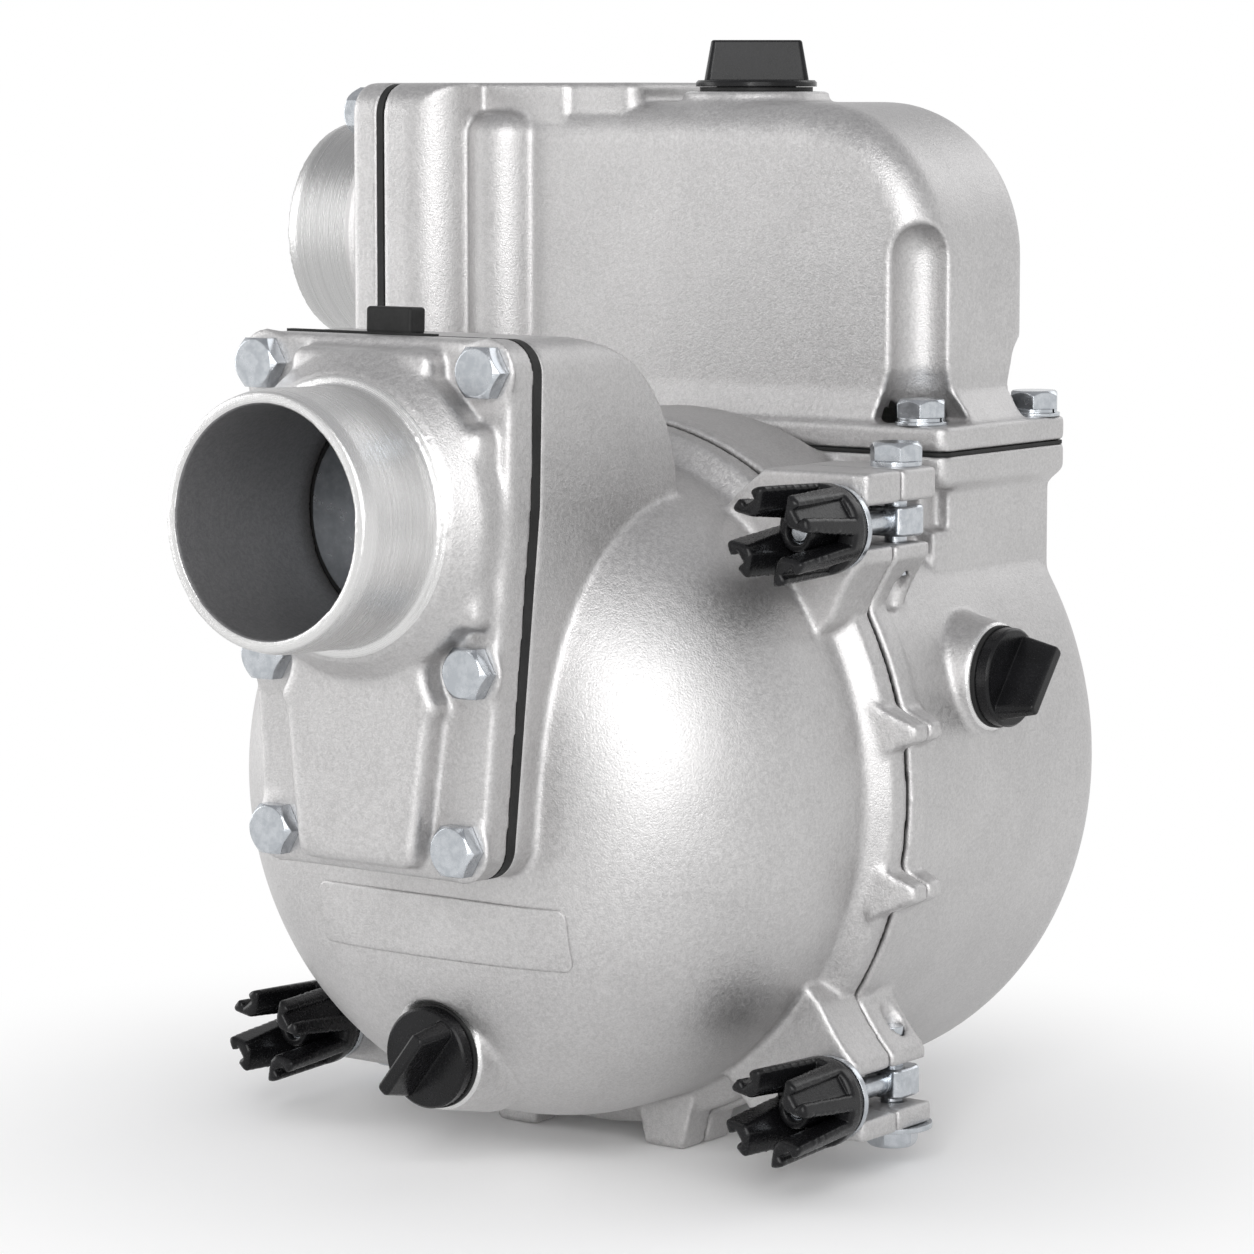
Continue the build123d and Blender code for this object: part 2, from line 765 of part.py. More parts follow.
def discharge_tank():
    """The tank as a shell, open below, with filler neck, bolt pockets and discharge port."""
    tank = tank_outside()
    boss = cone_z(filler_boss_radius + 5, filler_boss_radius, body_top - 3, body_top + 1, 0, filler_y)
    boss += rod_z(filler_boss_radius, body_top, body_top + filler_boss_height, 0, filler_y)
    tank += boss
    half = body_half - tank_wall
    arch = [
        (-half, tank_base - 2),
        (half, tank_base - 2),
        (half, body_top - tank_wall),
        (-half, body_top - tank_wall),
    ]
    inner = profile(arch, {2: body_arch - tank_wall, 3: tank_wall})
    cavity = slab_y(Plane.XZ * inner, body_front + tank_wall, body_back - tank_wall)
    around = pocket_radius + tank_wall - 1
    for column in bolt_pockets(around, 0) + bolt_niches(around, 0):
        cavity -= column
    for x, y in tank_bolt_places():
        cavity -= rod_z(around, tank_base - 3, tank_bolt_room_top, x, y)
    tank -= cavity
    for cut in bolt_pockets(pocket_radius, pocket_flare) + bolt_niches(pocket_radius, column_radius + 8):
        tank -= cut
    tank -= Pos((discharge_face_x - half) / 2, discharge_y, discharge_z) * Rot(0, 90, 0) * Cone(
        nozzle_bore - 3, 29, -half - discharge_face_x + 4
    )
    tank -= rod_z(cap_stem_radius + face_gap, body_top - 20, body_top + 20, 0, filler_y)
    for x, y in tank_bolt_places():
        tank -= rod_z(bolt_radius + loose_gap, tank_base, tank_bolt_room_top, x, y)
    for y, z in discharge_bolt_places():
        tank -= rod_x(bolt_radius + loose_gap, discharge_face_x - 1, discharge_face_x + 12, y, z)
    return tank


def tank_gasket():
    """Thin gasket under the tank."""
    half = tank_bolt_left_x - 14
    sheet = extrude(tank_outline(0.4, tank_base), amount=tank_gasket_thick)
    sheet -= box(-half, half, tank_front + 8, tank_back - 14, tank_base - 1, tank_base + 5)
    for x, y in tank_bolt_places():
        sheet -= rod_z(bolt_radius + loose_gap, tank_base - 1, tank_base + 5, x, y)
    return sheet


def tank_bolts():
    """Four bolts down through the tank's flange."""
    z = tank_base + tank_gasket_thick + tank_flange_thick
    washers = washer_thick + spring_washer_thick
    shank = tank_flange_thick + tank_gasket_thick + tank_bolt_grip
    return [Pos(x, y, z) * hex_bolt(shank, washers) for x, y in tank_bolt_places()]


def tank_washers():
    """A flat washer and a spring washer under each tank bolt."""
    z = tank_base + tank_gasket_thick + tank_flange_thick
    inner = bolt_radius + 0.3
    middle = z + washer_thick
    top = middle + spring_washer_thick
    pieces = []
    for x, y in tank_bolt_places():
        pieces.append(Pos(x, y) * ring(washer_radius, inner, z, middle))
        split = box(0, 20, -0.8, 0.8, middle - 1, top + 1)
        pieces.append(Pos(x, y) * (ring(spring_washer_radius, inner, middle, top) - split))
    return pieces


def nozzle(start, end, back):
    """Hose nozzle along -Y: cast collar, machined shoulder, straight wall and tapered rim."""
    r = nozzle_radius
    collar = start - collar_height
    shoulder = collar - shoulder_height
    return polygon_turned(
        (0, back),
        (r + collar_width, back),
        (r + collar_width, start),
        (r + collar_top, collar),
        (r + shoulder_width, collar),
        (r + shoulder_width, shoulder),
        (r, shoulder),
        (r, end + nozzle_chamfer),
        (r - nozzle_lip, end),
        (0, end),
    )


def pan_face():
    """Raised middle of the suction flange, with hollows round the upper four bolts."""
    points = [
        (pan_half_wide, pan_top),
        (pan_half_wide, pan_shoulder),
        (pan_half_waist, pan_waist),
        (pan_half_low, pan_low),
    ]
    face = make_face(Polyline(*mirrored(points), close=True))
    for (z, x), radius in zip(suction_bolt_rows, pan_pockets):
        for side in (-1, 1):
            face -= Pos(side * x, z) * Circle(radius)
    face = fillet(face.vertices(), pan_corner)
    return Plane.XZ * face


def suction_flange():
    """Plate with bolt bosses, the raised pan, the collar and the nozzle."""
    back = -suction_gasket_thick
    front = back - flange_thick
    plate = slab_y(neck_outline(), front, back)
    plate = fillet(plate.faces().sort_by(Axis.Y)[0].edges(), 2.0)
    pan = slab_y(pan_face(), front - pan_height, front + 1)
    pan = fillet(pan.faces().sort_by(Axis.Y)[0].edges(), pan_edge)
    flange = plate + pan
    for z, x in suction_bolt_rows:
        for side in (-1, 1):
            flange += rod_y(boss_radius, front - boss_height, front + 1, side * x, z)
    flange += nozzle(front - pan_height, -suction_nozzle_reach, back - 1)
    flange -= rod_y(nozzle_bore, -suction_nozzle_reach - 1, 1)
    for z, x in suction_bolt_rows:
        for side in (-1, 1):
            flange -= rod_y(bolt_radius + loose_gap, -suction_nozzle_reach, 1, side * x, z)
    slot_z = neck_top - 4.5
    flange -= box(*band_span(), back - 3, 1, slot_z, neck_top + 5)
    return neck_place * flange


def band_span():
    """Left and right end of the thick rubber strip at the top of the suction gasket."""
    return band_offset - band_width / 2, band_offset + band_width / 2


def flap_face(grow):
    """Disc of the flap with its tongue up to the hinge line."""
    face = Circle(flap_radius + grow)
    face += Pos(0, flap_hinge_height / 2) * Rectangle(flap_tongue_width + 2 * grow, flap_hinge_height)
    return Plane.XZ * face


def suction_gasket():
    """Rubber sheet under the suction flange, with the strip and the pull tab on top."""
    thick = suction_gasket_thick
    sheet = slab_y(neck_outline(), -thick, 0)
    x0, x1 = band_span()
    sheet += box(x0 + 0.4, x1 - 0.4, -thick - 2.6, -thick + 1, neck_top - 4.1, neck_top + band_rise)
    tab = box(
        tab_offset - tab_width / 2,
        tab_offset + tab_width / 2,
        -thick - 2.0,
        -thick - 2.0 + tab_depth,
        neck_top + 0.3,
        neck_top + tab_height,
    )
    sheet += fillet(tab.edges(), 1.2)
    sheet -= slab_y(flap_face(flap_gap), -thick - 1, 1)
    half = flap_tongue_width / 2 + flap_gap
    sheet -= rod_x(thick / 2 + 0.05, -half, half, -thick / 2, flap_hinge_height)
    for z, x in suction_bolt_rows:
        for side in (-1, 1):
            sheet -= rod_y(bolt_radius + loose_gap, -thick - 9, 1, side * x, z)
    return neck_place * sheet


def suction_flap():
    """Rubber flap that closes the nozzle's bore, hung from its rounded top edge."""
    thick = suction_gasket_thick
    flap = slab_y(flap_face(0), face_gap - thick, -face_gap)
    half = flap_tongue_width / 2
    flap += rod_x(thick / 2 - face_gap, -half, half, -thick / 2, flap_hinge_height)
    flap -= rod_y(rivet_radius, -20, 20)
    return neck_place * flap


def flap_weight(y0, y1):
    """Round steel plate that stiffens the flap."""
    disc = rod_y(weight_radius, y0, y1) - rod_y(rivet_radius, -20, 20)
    return neck_place * disc


def weight_faces():
    """Y of the outer plate's face, the flap's two faces and the inner plate's face."""
    front = face_gap - suction_gasket_thick
    back = -face_gap
    return front - weight_thick, front, back, back + weight_thick


def flap_rivet():
    """Rivet through both plates and the flap."""
    front, _, _, back = weight_faces()
    rivet = rod_y(rivet_radius, front - 1, back + 1)
    rivet += rod_y(rivet_head_radius, front - rivet_head_thick, front)
    rivet += rod_y(rivet_head_radius, back, back + rivet_head_thick)
    return neck_place * rivet


def suction_bolts():
    """Six bolts through the suction flange."""
    seat = -suction_gasket_thick - flange_thick - boss_height
    turn = Rot(90, 0, 0)
    bolts = []
    for z, x in suction_bolt_rows:
        for side in (-1, 1):
            bolts.append(neck_place * Pos(side * x, seat, z) * turn * hex_bolt(28))
    return bolts


def discharge_bolt_places():
    """Y, Z of the four bolts in the discharge flange."""
    h = discharge_bolt_half
    return [(discharge_y + a * h, discharge_z + b * h) for a in (-1, 1) for b in (-1, 1)]


def discharge_flange():
    """Square plate with a raised pan and the discharge nozzle."""
    back = discharge_face_x - discharge_gasket_thick
    front = back - flange_thick
    plate = square_x(discharge_half, front, back)
    plate = fillet(plate.faces().sort_by(Axis.X)[0].edges(), 2.0)
    pan = square_x(discharge_pan_half, front - discharge_pan_height, front + 1, 24)
    pan = fillet(pan.faces().sort_by(Axis.X)[0].edges(), 2.5)
    reach = discharge_nozzle_reach
    tube = nozzle(-flange_thick - discharge_pan_height, -reach, -1)
    place = Location((back, discharge_y, discharge_z), (0, 0, -90))
    flange = plate + pan + place * tube
    flange -= rod_x(nozzle_bore, back - reach - 1, back + 1, discharge_y, discharge_z)
    for y, z in discharge_bolt_places():
        flange -= rod_x(bolt_radius + loose_gap, back - reach, back + 1, y, z)
        flange -= rod_x(washer_radius + 1.5, back - reach, front, y, z)
    return flange


def discharge_gasket():
    """Gasket behind the discharge flange."""
    x1 = discharge_face_x
    sheet = square_x(discharge_half - 0.4, x1 - discharge_gasket_thick, x1)
    sheet -= rod_x(nozzle_bore - 2.5, x1 - 10, x1 + 10, discharge_y, discharge_z)
    for y, z in discharge_bolt_places():
        sheet -= rod_x(bolt_radius + loose_gap, x1 - 10, x1 + 10, y, z)
    return sheet


def discharge_bolts():
    """Four bolts through the discharge flange."""
    x = discharge_face_x - discharge_gasket_thick - flange_thick
    return [Pos(x, y, z) * Rot(0, -90, 0) * hex_bolt(25) for y, z in discharge_bolt_places()]


def screw_cap(radius, thick, foot_length, top_length, grip_thick, height, stem, stem_length):
    """Cap along +Z from its seat: threaded stem, disc and a tapered grip bar."""
    cap = rod_z(stem, -stem_length, 0.5) + rod_z(radius, 0, thick)
    cap = chamfer(cap.edges().sort_by(Axis.Z)[-1], 0.8)
    low = Plane.XY.offset(thick - 0.5) * RectangleRounded(foot_length, grip_thick, 2.5)
    high = Plane.XY.offset(thick + height) * RectangleRounded(top_length, grip_thick - 3, 1.8)
    grip = loft([low, high])
    grip = fillet(grip.faces().sort_by(Axis.Z)[-1].edges(), 1.0)
    return cap + grip


def cap_gasket(outer, inner, thick):
    """Rubber ring under a cap, seated on Z = 0."""
    return ring(outer, inner, 0, thick)


def filler_place():
    """Where the filler cap seats on its neck."""
    z = body_top + filler_boss_height
    return Location((0, filler_y, z), (0, 0, cap_grip_angle))


def filler_cap():
    """Filler cap with a straight bar grip."""
    cap = screw_cap(
        cap_radius, cap_thick, cap_grip_foot, cap_grip_top, cap_grip_thick, cap_grip_height,
        cap_stem_radius, cap_stem_length,
    )
    return filler_place() * Pos(0, 0, cap_gasket_thick + 2 * running_gap) * cap


def drain_plug():
    """Drain plug seated on Z = 0."""
    return Pos(0, 0, plug_gasket_thick + 2 * running_gap) * screw_cap(
        plug_radius, plug_thick, plug_grip_length, plug_grip_top, plug_grip_thick,
        plug_grip_height, plug_stem_radius, plug_stem_length,
    )


def front_drain_place():
    """Seat of the front drain plug, its axis along -Y."""
    return Location((0, front_drain_y, front_drain_z), (90, 0, 0)) * Rot(0, 0, 90 - plug_grip_lean)


def side_drain_place():
    """Seat of the side drain plug, its axis along +X."""
    return Location((side_drain_x, side_drain_y, side_drain_z), (0, 90, 0)) * Rot(0, 0, -plug_grip_lean)


def clamp_seats():
    """Name, side and signed height of the four clamps."""
    return {
        "top_right": (1, clamp_top_z),
        "top_left": (-1, clamp_top_z),
        "bottom_right": (1, -clamp_bottom_z),
        "bottom_left": (-1, -clamp_bottom_z),
    }


def swing_bolt():
    """Clamp bolt about its pivot: a squared eye and a rod along -Y."""
    eye = extrude(RectangleRounded(2 * eye_half, 2 * eye_half, eye_corner), amount=eye_height / 2, both=True)
    eye = chamfer(eye.edges().filter_by(GeomType.LINE).filter_by(Axis.Z, reverse=True), 0.8)
    shank = rod_y(rod_radius, -rod_reach, -eye_half + 1)
    shank = chamfer(shank.edges().sort_by(Axis.Y)[0], rod_chamfer)
    return eye + shank - rod_z(pivot_radius + running_gap, -20, 20)


def knob_washer():
    """Steel washer between knob and ear, its back on Z = 0."""
    return ring(knob_washer_radius, rod_radius + face_gap, 0, knob_washer_thick)


def tapered_slot(inner, depth, back_width, front_width):
    """A wedge from the radius inner outwards, which narrows from the knob's front to its depth."""
    low = knob_length - depth
    over = knob_length + 1
    face = make_face(Polyline(
        (low, -back_width / 2), (over, -front_width / 2), (over, front_width / 2), (low, back_width / 2), close=True
    ))
    return Rot(0, -90, 0) * Pos(0, 0, -big) * extrude(face, big - inner)


def clamp_knob():
    """Open knob of grooved prongs round a hub, its back on Z = 0."""
    step = 360 / knob_prongs
    knob = cone_z(knob_back_radius, knob_front_radius, 0, knob_length)
    knob -= cone_z(knob_hollow_back, knob_hollow_front, knob_disc, knob_length + 0.1)
    for n in range(knob_prongs):
        gap = tapered_slot(0, prong_gap_depth, prong_gap_back, prong_gap_front)
        knob -= Rot(0, 0, knob_turn + step * (n + 0.5)) * gap
        groove = tapered_slot(prong_web_radius, prong_groove_length, prong_groove_back, prong_groove_front)
        knob -= Rot(0, 0, knob_turn + step * n) * groove
    knob += rod_z(knob_hub_radius, 0, knob_hub_length)
    return knob - rod_z(rod_radius + running_gap, -1, knob_length + 1)


def on_clamp(side, height, shape):
    """Set a shape, drawn about the pivot, on one clamp."""
    return Pos(side * clamp_x, pivot_y, height) * shape


def washer_start():
    """Distance from pivot to the back of the knob's washer."""
    return pivot_y + ear_front + face_gap


def pivot_bolts():
    """Four pivot bolts: heads up on the top clamps, down on the bottom clamps."""
    bolts = []
    for side, height in clamp_seats().values():
        up = height > 0
        thick = ear_thick_top if up else ear_thick_bottom
        washer = pivot_washer_thick
        bolt = Pos(0, 0, slot_half + thick) * hex_bolt(slot_half * 2 + thick + pivot_grip, washer, pivot_radius)
        turn = Rot(0, 0, 12) if up else Rot(180, 0, 12)
        bolts.append(on_clamp(side, height, turn * bolt))
    return bolts


def pivot_washers():
    """Washers under the heads of the pivot bolts, wide ones on the two bottom clamps."""
    washers = []
    for side, height in clamp_seats().values():
        up = height > 0
        radius = pivot_washer_top_radius if up else pivot_washer_radius
        washer = ring(radius, pivot_radius + face_gap, 0, pivot_washer_thick)
        z = slot_half + ear_thick_top if up else -slot_half - ear_thick_bottom - pivot_washer_thick
        washers.append(on_clamp(side, height + z, washer))
    return washers


def wear_screw_places():
    """X, Z of the wear plate's three screws."""
    angles = [radians(a) for a in (30, 150, 270)]
    return [(wear_screw_circle * cos(a), wear_screw_circle * sin(a)) for a in angles]


def volute_screw_places():
    """X, Z of the volute's three screws, on the ring round the seal."""
    r = (seal_ring_boss_inner + seal_ring_boss_outer) / 2
    angles = [radians(a) for a in (0, 120, 240)]
    return [(r * cos(a), r * sin(a)) for a in angles]


def wear_front():
    """Y of the wear plate's face towards the impeller."""
    return cover_boss_height + wear_plate_thick


def wear_plate():
    """Steel ring on the cover's web, facing the impeller."""
    plate = rod_y(wear_plate_radius, cover_boss_height, wear_front())
    plate -= rod_y(eye_radius, 0, 50)
    for x, z in wear_screw_places():
        plate -= rod_y(screw_radius + 0.2, 0, 50, x, z)
    return plate


def wear_plate_screws():
    """Three screws that hold the wear plate."""
    y = wear_front()
    screws = []
    for x, z in wear_screw_places():
        screw = rod_y(screw_radius, cover_boss_height - 8, y, x, z)
        screws.append(screw + rod_y(screw_head_radius - 0.4, y, y + 2.4, x, z))
    return screws


def vane_front():
    """Y of the impeller vanes' front edges."""
    return wear_front() + vane_gap


def shroud_front():
    """Y of the impeller's back disc."""
    return vane_front() + vane_height


def volute_seat_y():
    """Y of the volute's back, which seats on the casing's ring."""
    return shroud_front() + impeller_shroud + 3.4 + volute_back


def impeller():
    """Open two vane impeller with a hub for the shaft's spigot."""
    back = shroud_front() + impeller_shroud
    wheel = rod_y(impeller_radius, shroud_front(), back)
    points = []
    for radius, angle in vane_points:
        points.append((radius * cos(radians(angle)), radius * sin(radians(angle))))
    blade = slab_y(Plane.XZ * trace(ThreePointArc(*points), vane_thick), vane_front(), shroud_front() + 1)
    for n in range(vane_count):
        wheel += Rot(0, 360 / vane_count * n, 0) * blade
    hub_front = shroud_front() - impeller_hub_length
    wheel += rod_y(impeller_hub_radius, hub_front, back + impeller_hub_length)
    wheel -= rod_y(shaft_spigot_radius, hub_front - 1, back + 50)
    return wheel


def impeller_bolt():
    """Socket screw with a collar that holds the impeller on the shaft."""
    hub_front = shroud_front() - impeller_hub_length
    bolt = rod_y(impeller_washer_radius, hub_front - impeller_washer_thick, hub_front)
    head_back = hub_front - impeller_washer_thick
    bolt += rod_y(impeller_bolt_head, head_back - impeller_bolt_height, head_back)
    socket = slab_y(Plane.XZ * RegularPolygon(3.0, 6), head_back - impeller_bolt_height - 1, head_back - 3)
    return bolt + rod_y(impeller_bolt_radius, hub_front - 1, hub_front + 18) - socket


def stub_shaft():
    """Hollow stub shaft: spigot for the impeller, seal seat and keyed socket for the engine."""
    hub_front = shroud_front() - impeller_hub_length
    hub_back = shroud_front() + impeller_shroud + impeller_hub_length
    shaft = rod_y(shaft_radius, hub_back, shaft_end_y)
    shaft += rod_y(shaft_spigot_radius, hub_front + 1, hub_back + 1)
    shaft -= rod_y(impeller_bolt_radius, hub_front, hub_front + 18.2)
    shaft -= rod_y(engine_shaft_radius, shaft_end_y - engine_shaft_length, shaft_end_y + 1)
    key = box(
        -key_width / 2, key_width / 2, shaft_end_y - engine_shaft_length, shaft_end_y + 1,
        0, engine_shaft_radius + key_height / 2,
    )
    shaft -= key
    y = shaft_end_y - 12
    shaft -= rod_x(set_screw_radius, 0, shaft_radius + 1, y, 0)
    return chamfer(shaft.edges().filter_by(GeomType.CIRCLE).sort_by(Axis.Y)[-1], 0.8)


def shaft_set_screw():
    """Set screw that grips the engine shaft."""
    y = shaft_end_y - 12
    screw = rod_x(set_screw_radius, engine_shaft_radius + 0.2, shaft_radius, y, 0)
    return screw - Pos(shaft_radius, y, 0) * Rot(0, 90, 0) * Box(2.6, 2.6, 2.6)


def seal_seat():
    """Fixed ceramic ring in the casing's seal wall."""
    y1 = seal_wall_y + seat_depth
    return rod_y(seat_radius, y1 - seat_thick, y1) - rod_y(shaft_radius + loose_gap, 0, 100)


def seal_face():
    """Turning carbon ring against the ceramic seat."""
    y1 = seal_wall_y + seat_depth - seat_thick
    return rod_y(face_radius, y1 - face_thick, y1) - rod_y(shaft_radius + 0.05, 0, 100)


def seal_spring():
    """Spring between the impeller's hub and the turning ring."""
    y0 = shroud_front() + impeller_shroud + impeller_hub_length
    y1 = seal_wall_y + seat_depth - seat_thick - face_thick
    length = y1 - y0 - spring_wire
    r = shaft_radius + spring_wire
    path = Helix(pitch=length / spring_turns, height=length, radius=r)
    section = Plane(origin=path @ 0, z_dir=path % 0) * Circle(spring_wire / 2)
    coil = sweep(section, path=path)
    return Pos(0, y1 - spring_wire / 2, 0) * Rot(90, 0, 0) * coil


def spiral(extra):
    """Volute outline: a radius that grows clockwise from the left, and a throat upwards."""
    r = [volute_start + volute_growth * n / 4 + extra for n in range(5)]
    edges = []
    for n in range(4):
        a = radians(180 - 90 * n)
        b = radians(180 - 90 * (n + 1))
        m = (a + b) / 2
        middle = (r[n] + r[n + 1]) / 2
        edges.append(
            ThreePointArc(
                (r[n] * cos(a), r[n] * sin(a)),
                (middle * cos(m), middle * sin(m)),
                (r[n + 1] * cos(b), r[n + 1] * sin(b)),
            )
        )
    edges.append(Line((-r[4], 0), (-r[0], 0)))
    face = make_face(Wire(edges))
    width = volute_throat_width + 2 * extra
    throat = Pos(-r[4] + width / 2, volute_throat_top / 2) * Rectangle(width, volute_throat_top)
    return Plane.XZ * (face + throat)


def volute():
    """Cast spiral case round the impeller, open towards the wear plate."""
    back = volute_seat_y()
    case = slab_y(spiral(volute_wall), wear_front(), back)
    open_top = box(-140, -20, wear_front() - 1, back - volute_back, 0, 200)
    room = slab_y(spiral(0), wear_front() - 1, back - volute_back)
    case -= room
    case -= open_top & box(
        -volute_start - volute_growth, -volute_start - volute_growth + volute_throat_width,
        0, 100, volute_throat_top - volute_wall - 1, 200,
    )
    case -= rod_y(volute_hole, 0, 100)
    for x, z in volute_screw_places():
        case -= rod_y(screw_radius + 0.2, 0, 100, x, z)
        case -= rod_y(screw_head_radius + 0.2, 0, back - 3, x, z)
    for x, z in wear_screw_places():
        case -= rod_y(screw_head_radius + 0.5, 0, wear_front() + 3, x, z)
    return case


def volute_screws():
    """Three flush screws that hold the volute to the casing."""
    back = volute_seat_y()
    screws = []
    for x, z in volute_screw_places():
        screw = rod_y(screw_radius, back - 3.5, back + 11, x, z)
        screws.append(screw + rod_y(screw_head_radius, back - volute_back + 0.2, back - 3, x, z))
    return screws


def save(name, shape):
    """Write one node, moved so that the origin lies on the engine face."""
    solids = shape if isinstance(shape, list) else [shape]
    flat = []
    for item in solids:
        flat.extend(item.solids())
    moved = [seat_place * solid for solid in flat]
    export_step(moved[0] if len(moved) == 1 else Compound(children=moved), f"parts/{name}.step")


def main():
    """Build every node."""
    os.makedirs("parts", exist_ok=True)
    save("rear_casing", rear_casing())
    save("front_cover", front_cover())
    save("cover_seal", cover_seal())
    save("discharge_tank", discharge_tank())
    save("tank_gasket", tank_gasket())
    save("tank_bolts", tank_bolts())
    save("tank_washers", tank_washers())
    save("suction_flange", suction_flange())
    save("suction_gasket", suction_gasket())
    save("suction_flap", suction_flap())
    front, flap_front, flap_back, back = weight_faces()
    save("flap_weight_outer", flap_weight(front, flap_front))
    save("flap_weight_inner", flap_weight(flap_back, back))
    save("flap_rivet", flap_rivet())
    save("suction_bolts", suction_bolts())
    save("discharge_flange", discharge_flange())
    save("discharge_gasket", discharge_gasket())
    save("discharge_bolts", discharge_bolts())
    save("filler_cap", filler_cap())
    save("filler_cap_gasket", filler_place() * cap_gasket(cap_radius - 1.5, cap_stem_radius + face_gap, cap_gasket_thick))
    for name, place in (("front", front_drain_place()), ("side", side_drain_place())):
        save(f"{name}_drain_plug", place * drain_plug())
        washer = cap_gasket(plug_radius + 0.6, plug_stem_radius + face_gap, plug_gasket_thick)
        save(f"{name}_drain_gasket", place * washer)
    knob_turn = Rot(90, 0, 0)
    for name, (side, height) in clamp_seats().items():
        save(f"swing_bolt_{name}", on_clamp(side, height, swing_bolt()))
        washer = Pos(0, -washer_start(), 0) * knob_turn * knob_washer()
        save(f"knob_washer_{name}", on_clamp(side, height, washer))
        knob_y = -washer_start() - knob_washer_thick - running_gap
        save(f"clamp_knob_{name}", on_clamp(side, height, Pos(0, knob_y, 0) * knob_turn * clamp_knob()))
    save("pivot_bolts", pivot_bolts())
    save("pivot_washers", pivot_washers())
    save("wear_plate", wear_plate())
    save("wear_plate_screws", wear_plate_screws())
    save("volute", volute())
    save("volute_screws", volute_screws())
    save("impeller", impeller())
    save("impeller_bolt", impeller_bolt())
    save("stub_shaft", stub_shaft())
    save("shaft_set_screw", shaft_set_screw())
    save("seal_seat", seal_seat())
    save("seal_face", seal_face())
    save("seal_spring", seal_spring())


if __name__ == "__main__":
    main()
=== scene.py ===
import logging
import math
from dataclasses import dataclass
from enum import Enum

import bpy
from mathutils import Matrix, Vector


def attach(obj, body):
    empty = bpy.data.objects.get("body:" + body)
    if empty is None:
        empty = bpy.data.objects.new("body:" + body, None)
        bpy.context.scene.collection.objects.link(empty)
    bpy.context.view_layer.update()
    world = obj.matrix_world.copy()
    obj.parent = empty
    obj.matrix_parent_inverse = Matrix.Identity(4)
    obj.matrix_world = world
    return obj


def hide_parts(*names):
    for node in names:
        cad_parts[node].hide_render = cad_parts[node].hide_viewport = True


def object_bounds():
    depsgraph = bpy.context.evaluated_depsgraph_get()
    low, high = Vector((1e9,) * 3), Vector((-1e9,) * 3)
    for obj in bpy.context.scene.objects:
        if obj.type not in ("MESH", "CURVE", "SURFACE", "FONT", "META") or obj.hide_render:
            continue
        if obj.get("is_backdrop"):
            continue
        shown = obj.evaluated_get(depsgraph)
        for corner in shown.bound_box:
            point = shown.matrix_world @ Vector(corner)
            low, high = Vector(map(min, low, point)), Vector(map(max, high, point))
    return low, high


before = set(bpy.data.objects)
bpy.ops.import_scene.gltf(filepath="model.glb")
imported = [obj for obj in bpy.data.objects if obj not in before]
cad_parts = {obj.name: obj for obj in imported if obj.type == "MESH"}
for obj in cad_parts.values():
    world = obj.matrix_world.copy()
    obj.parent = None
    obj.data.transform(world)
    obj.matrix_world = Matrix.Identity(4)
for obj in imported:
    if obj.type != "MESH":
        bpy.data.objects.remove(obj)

# Slurry pump end: looks of the castings, fasteners, plastics and rubbers, and the small forms
# that the solids leave out. Metres, with the origin on the shaft line in the engine face.

logging.basicConfig(level=logging.INFO, format="%(message)s")
log = logging.getLogger("pump")

ENGINE_FACE_FROM_SEAM = 0.150
Point = tuple[float, float, float]


class Axis(Enum):
    """The way in which a round piece points."""

    UP = "up"
    RIGHT = "right"
    FORWARD = "forward"

    def turn(self) -> Matrix:
        """Rotation that brings +Z to this way."""
        if self is Axis.RIGHT:
            return Matrix.Rotation(math.radians(90), 4, "Y")
        if self is Axis.FORWARD:
            return Matrix.Rotation(math.radians(90), 4, "X")
        return Matrix.Identity(4)


class Corner(Enum):
    """The four swing bolt clamps, as side and height of the pivot in the seam."""

    TOP_RIGHT = (1, 0.097)
    TOP_LEFT = (-1, 0.097)
    BOTTOM_RIGHT = (1, -0.104)
    BOTTOM_LEFT = (-1, -0.104)

    @property
    def body(self) -> str:
        """The end of the names of this clamp's bodies."""
        return self.name.lower()


def seam(x: float, y: float, z: float) -> Point:
    """A point given from the seam, as a point from the engine face."""
    return (x, y - ENGINE_FACE_FROM_SEAM, z)


def use(obj: bpy.types.Object) -> bpy.types.Object:
    """Selects one object alone and makes it the active one.

    Args:
        obj: The object that the next operators act on.

    Returns:
        The same object.
    """
    if bpy.context.object and bpy.context.object.mode != "OBJECT":
        bpy.ops.object.mode_set(mode="OBJECT")
    bpy.ops.object.select_all(action="DESELECT")
    obj.select_set(True)
    bpy.context.view_layer.objects.active = obj
    return obj


def settle(obj: bpy.types.Object, name: str) -> bpy.types.Object:
    """Puts the object's place into its mesh and gives it a plain name.

    Args:
        obj: The piece that has been modelled.
        name: The name that the piece keeps.

    Returns:
        The same object, at the origin, unturned and unscaled.
    """
    use(obj)
    bpy.ops.object.transform_apply(location=True, rotation=True, scale=True)
    obj.name = name
    obj.data.name = name
    return obj


def place(obj: bpy.types.Object, at: Point, turn: Matrix | None = None) -> bpy.types.Object:
    """Moves a finished mesh to its place on the pump, with the object left at the origin.

    Args:
        obj: The piece, modelled about the origin.
        at: Where its origin goes.
        turn: How it is turned before it is moved.

    Returns:
        The same object.
    """
    obj.data.transform(Matrix.Translation(at) @ (turn or Matrix.Identity(4)))
    obj.data.update()
    return obj


def twin(obj: bpy.types.Object, name: str) -> bpy.types.Object:
    """A copy of a piece with a mesh of its own."""
    other = obj.copy()
    other.data = obj.data.copy()
    other.name = name
    other.data.name = name
    bpy.context.scene.collection.objects.link(other)
    return other


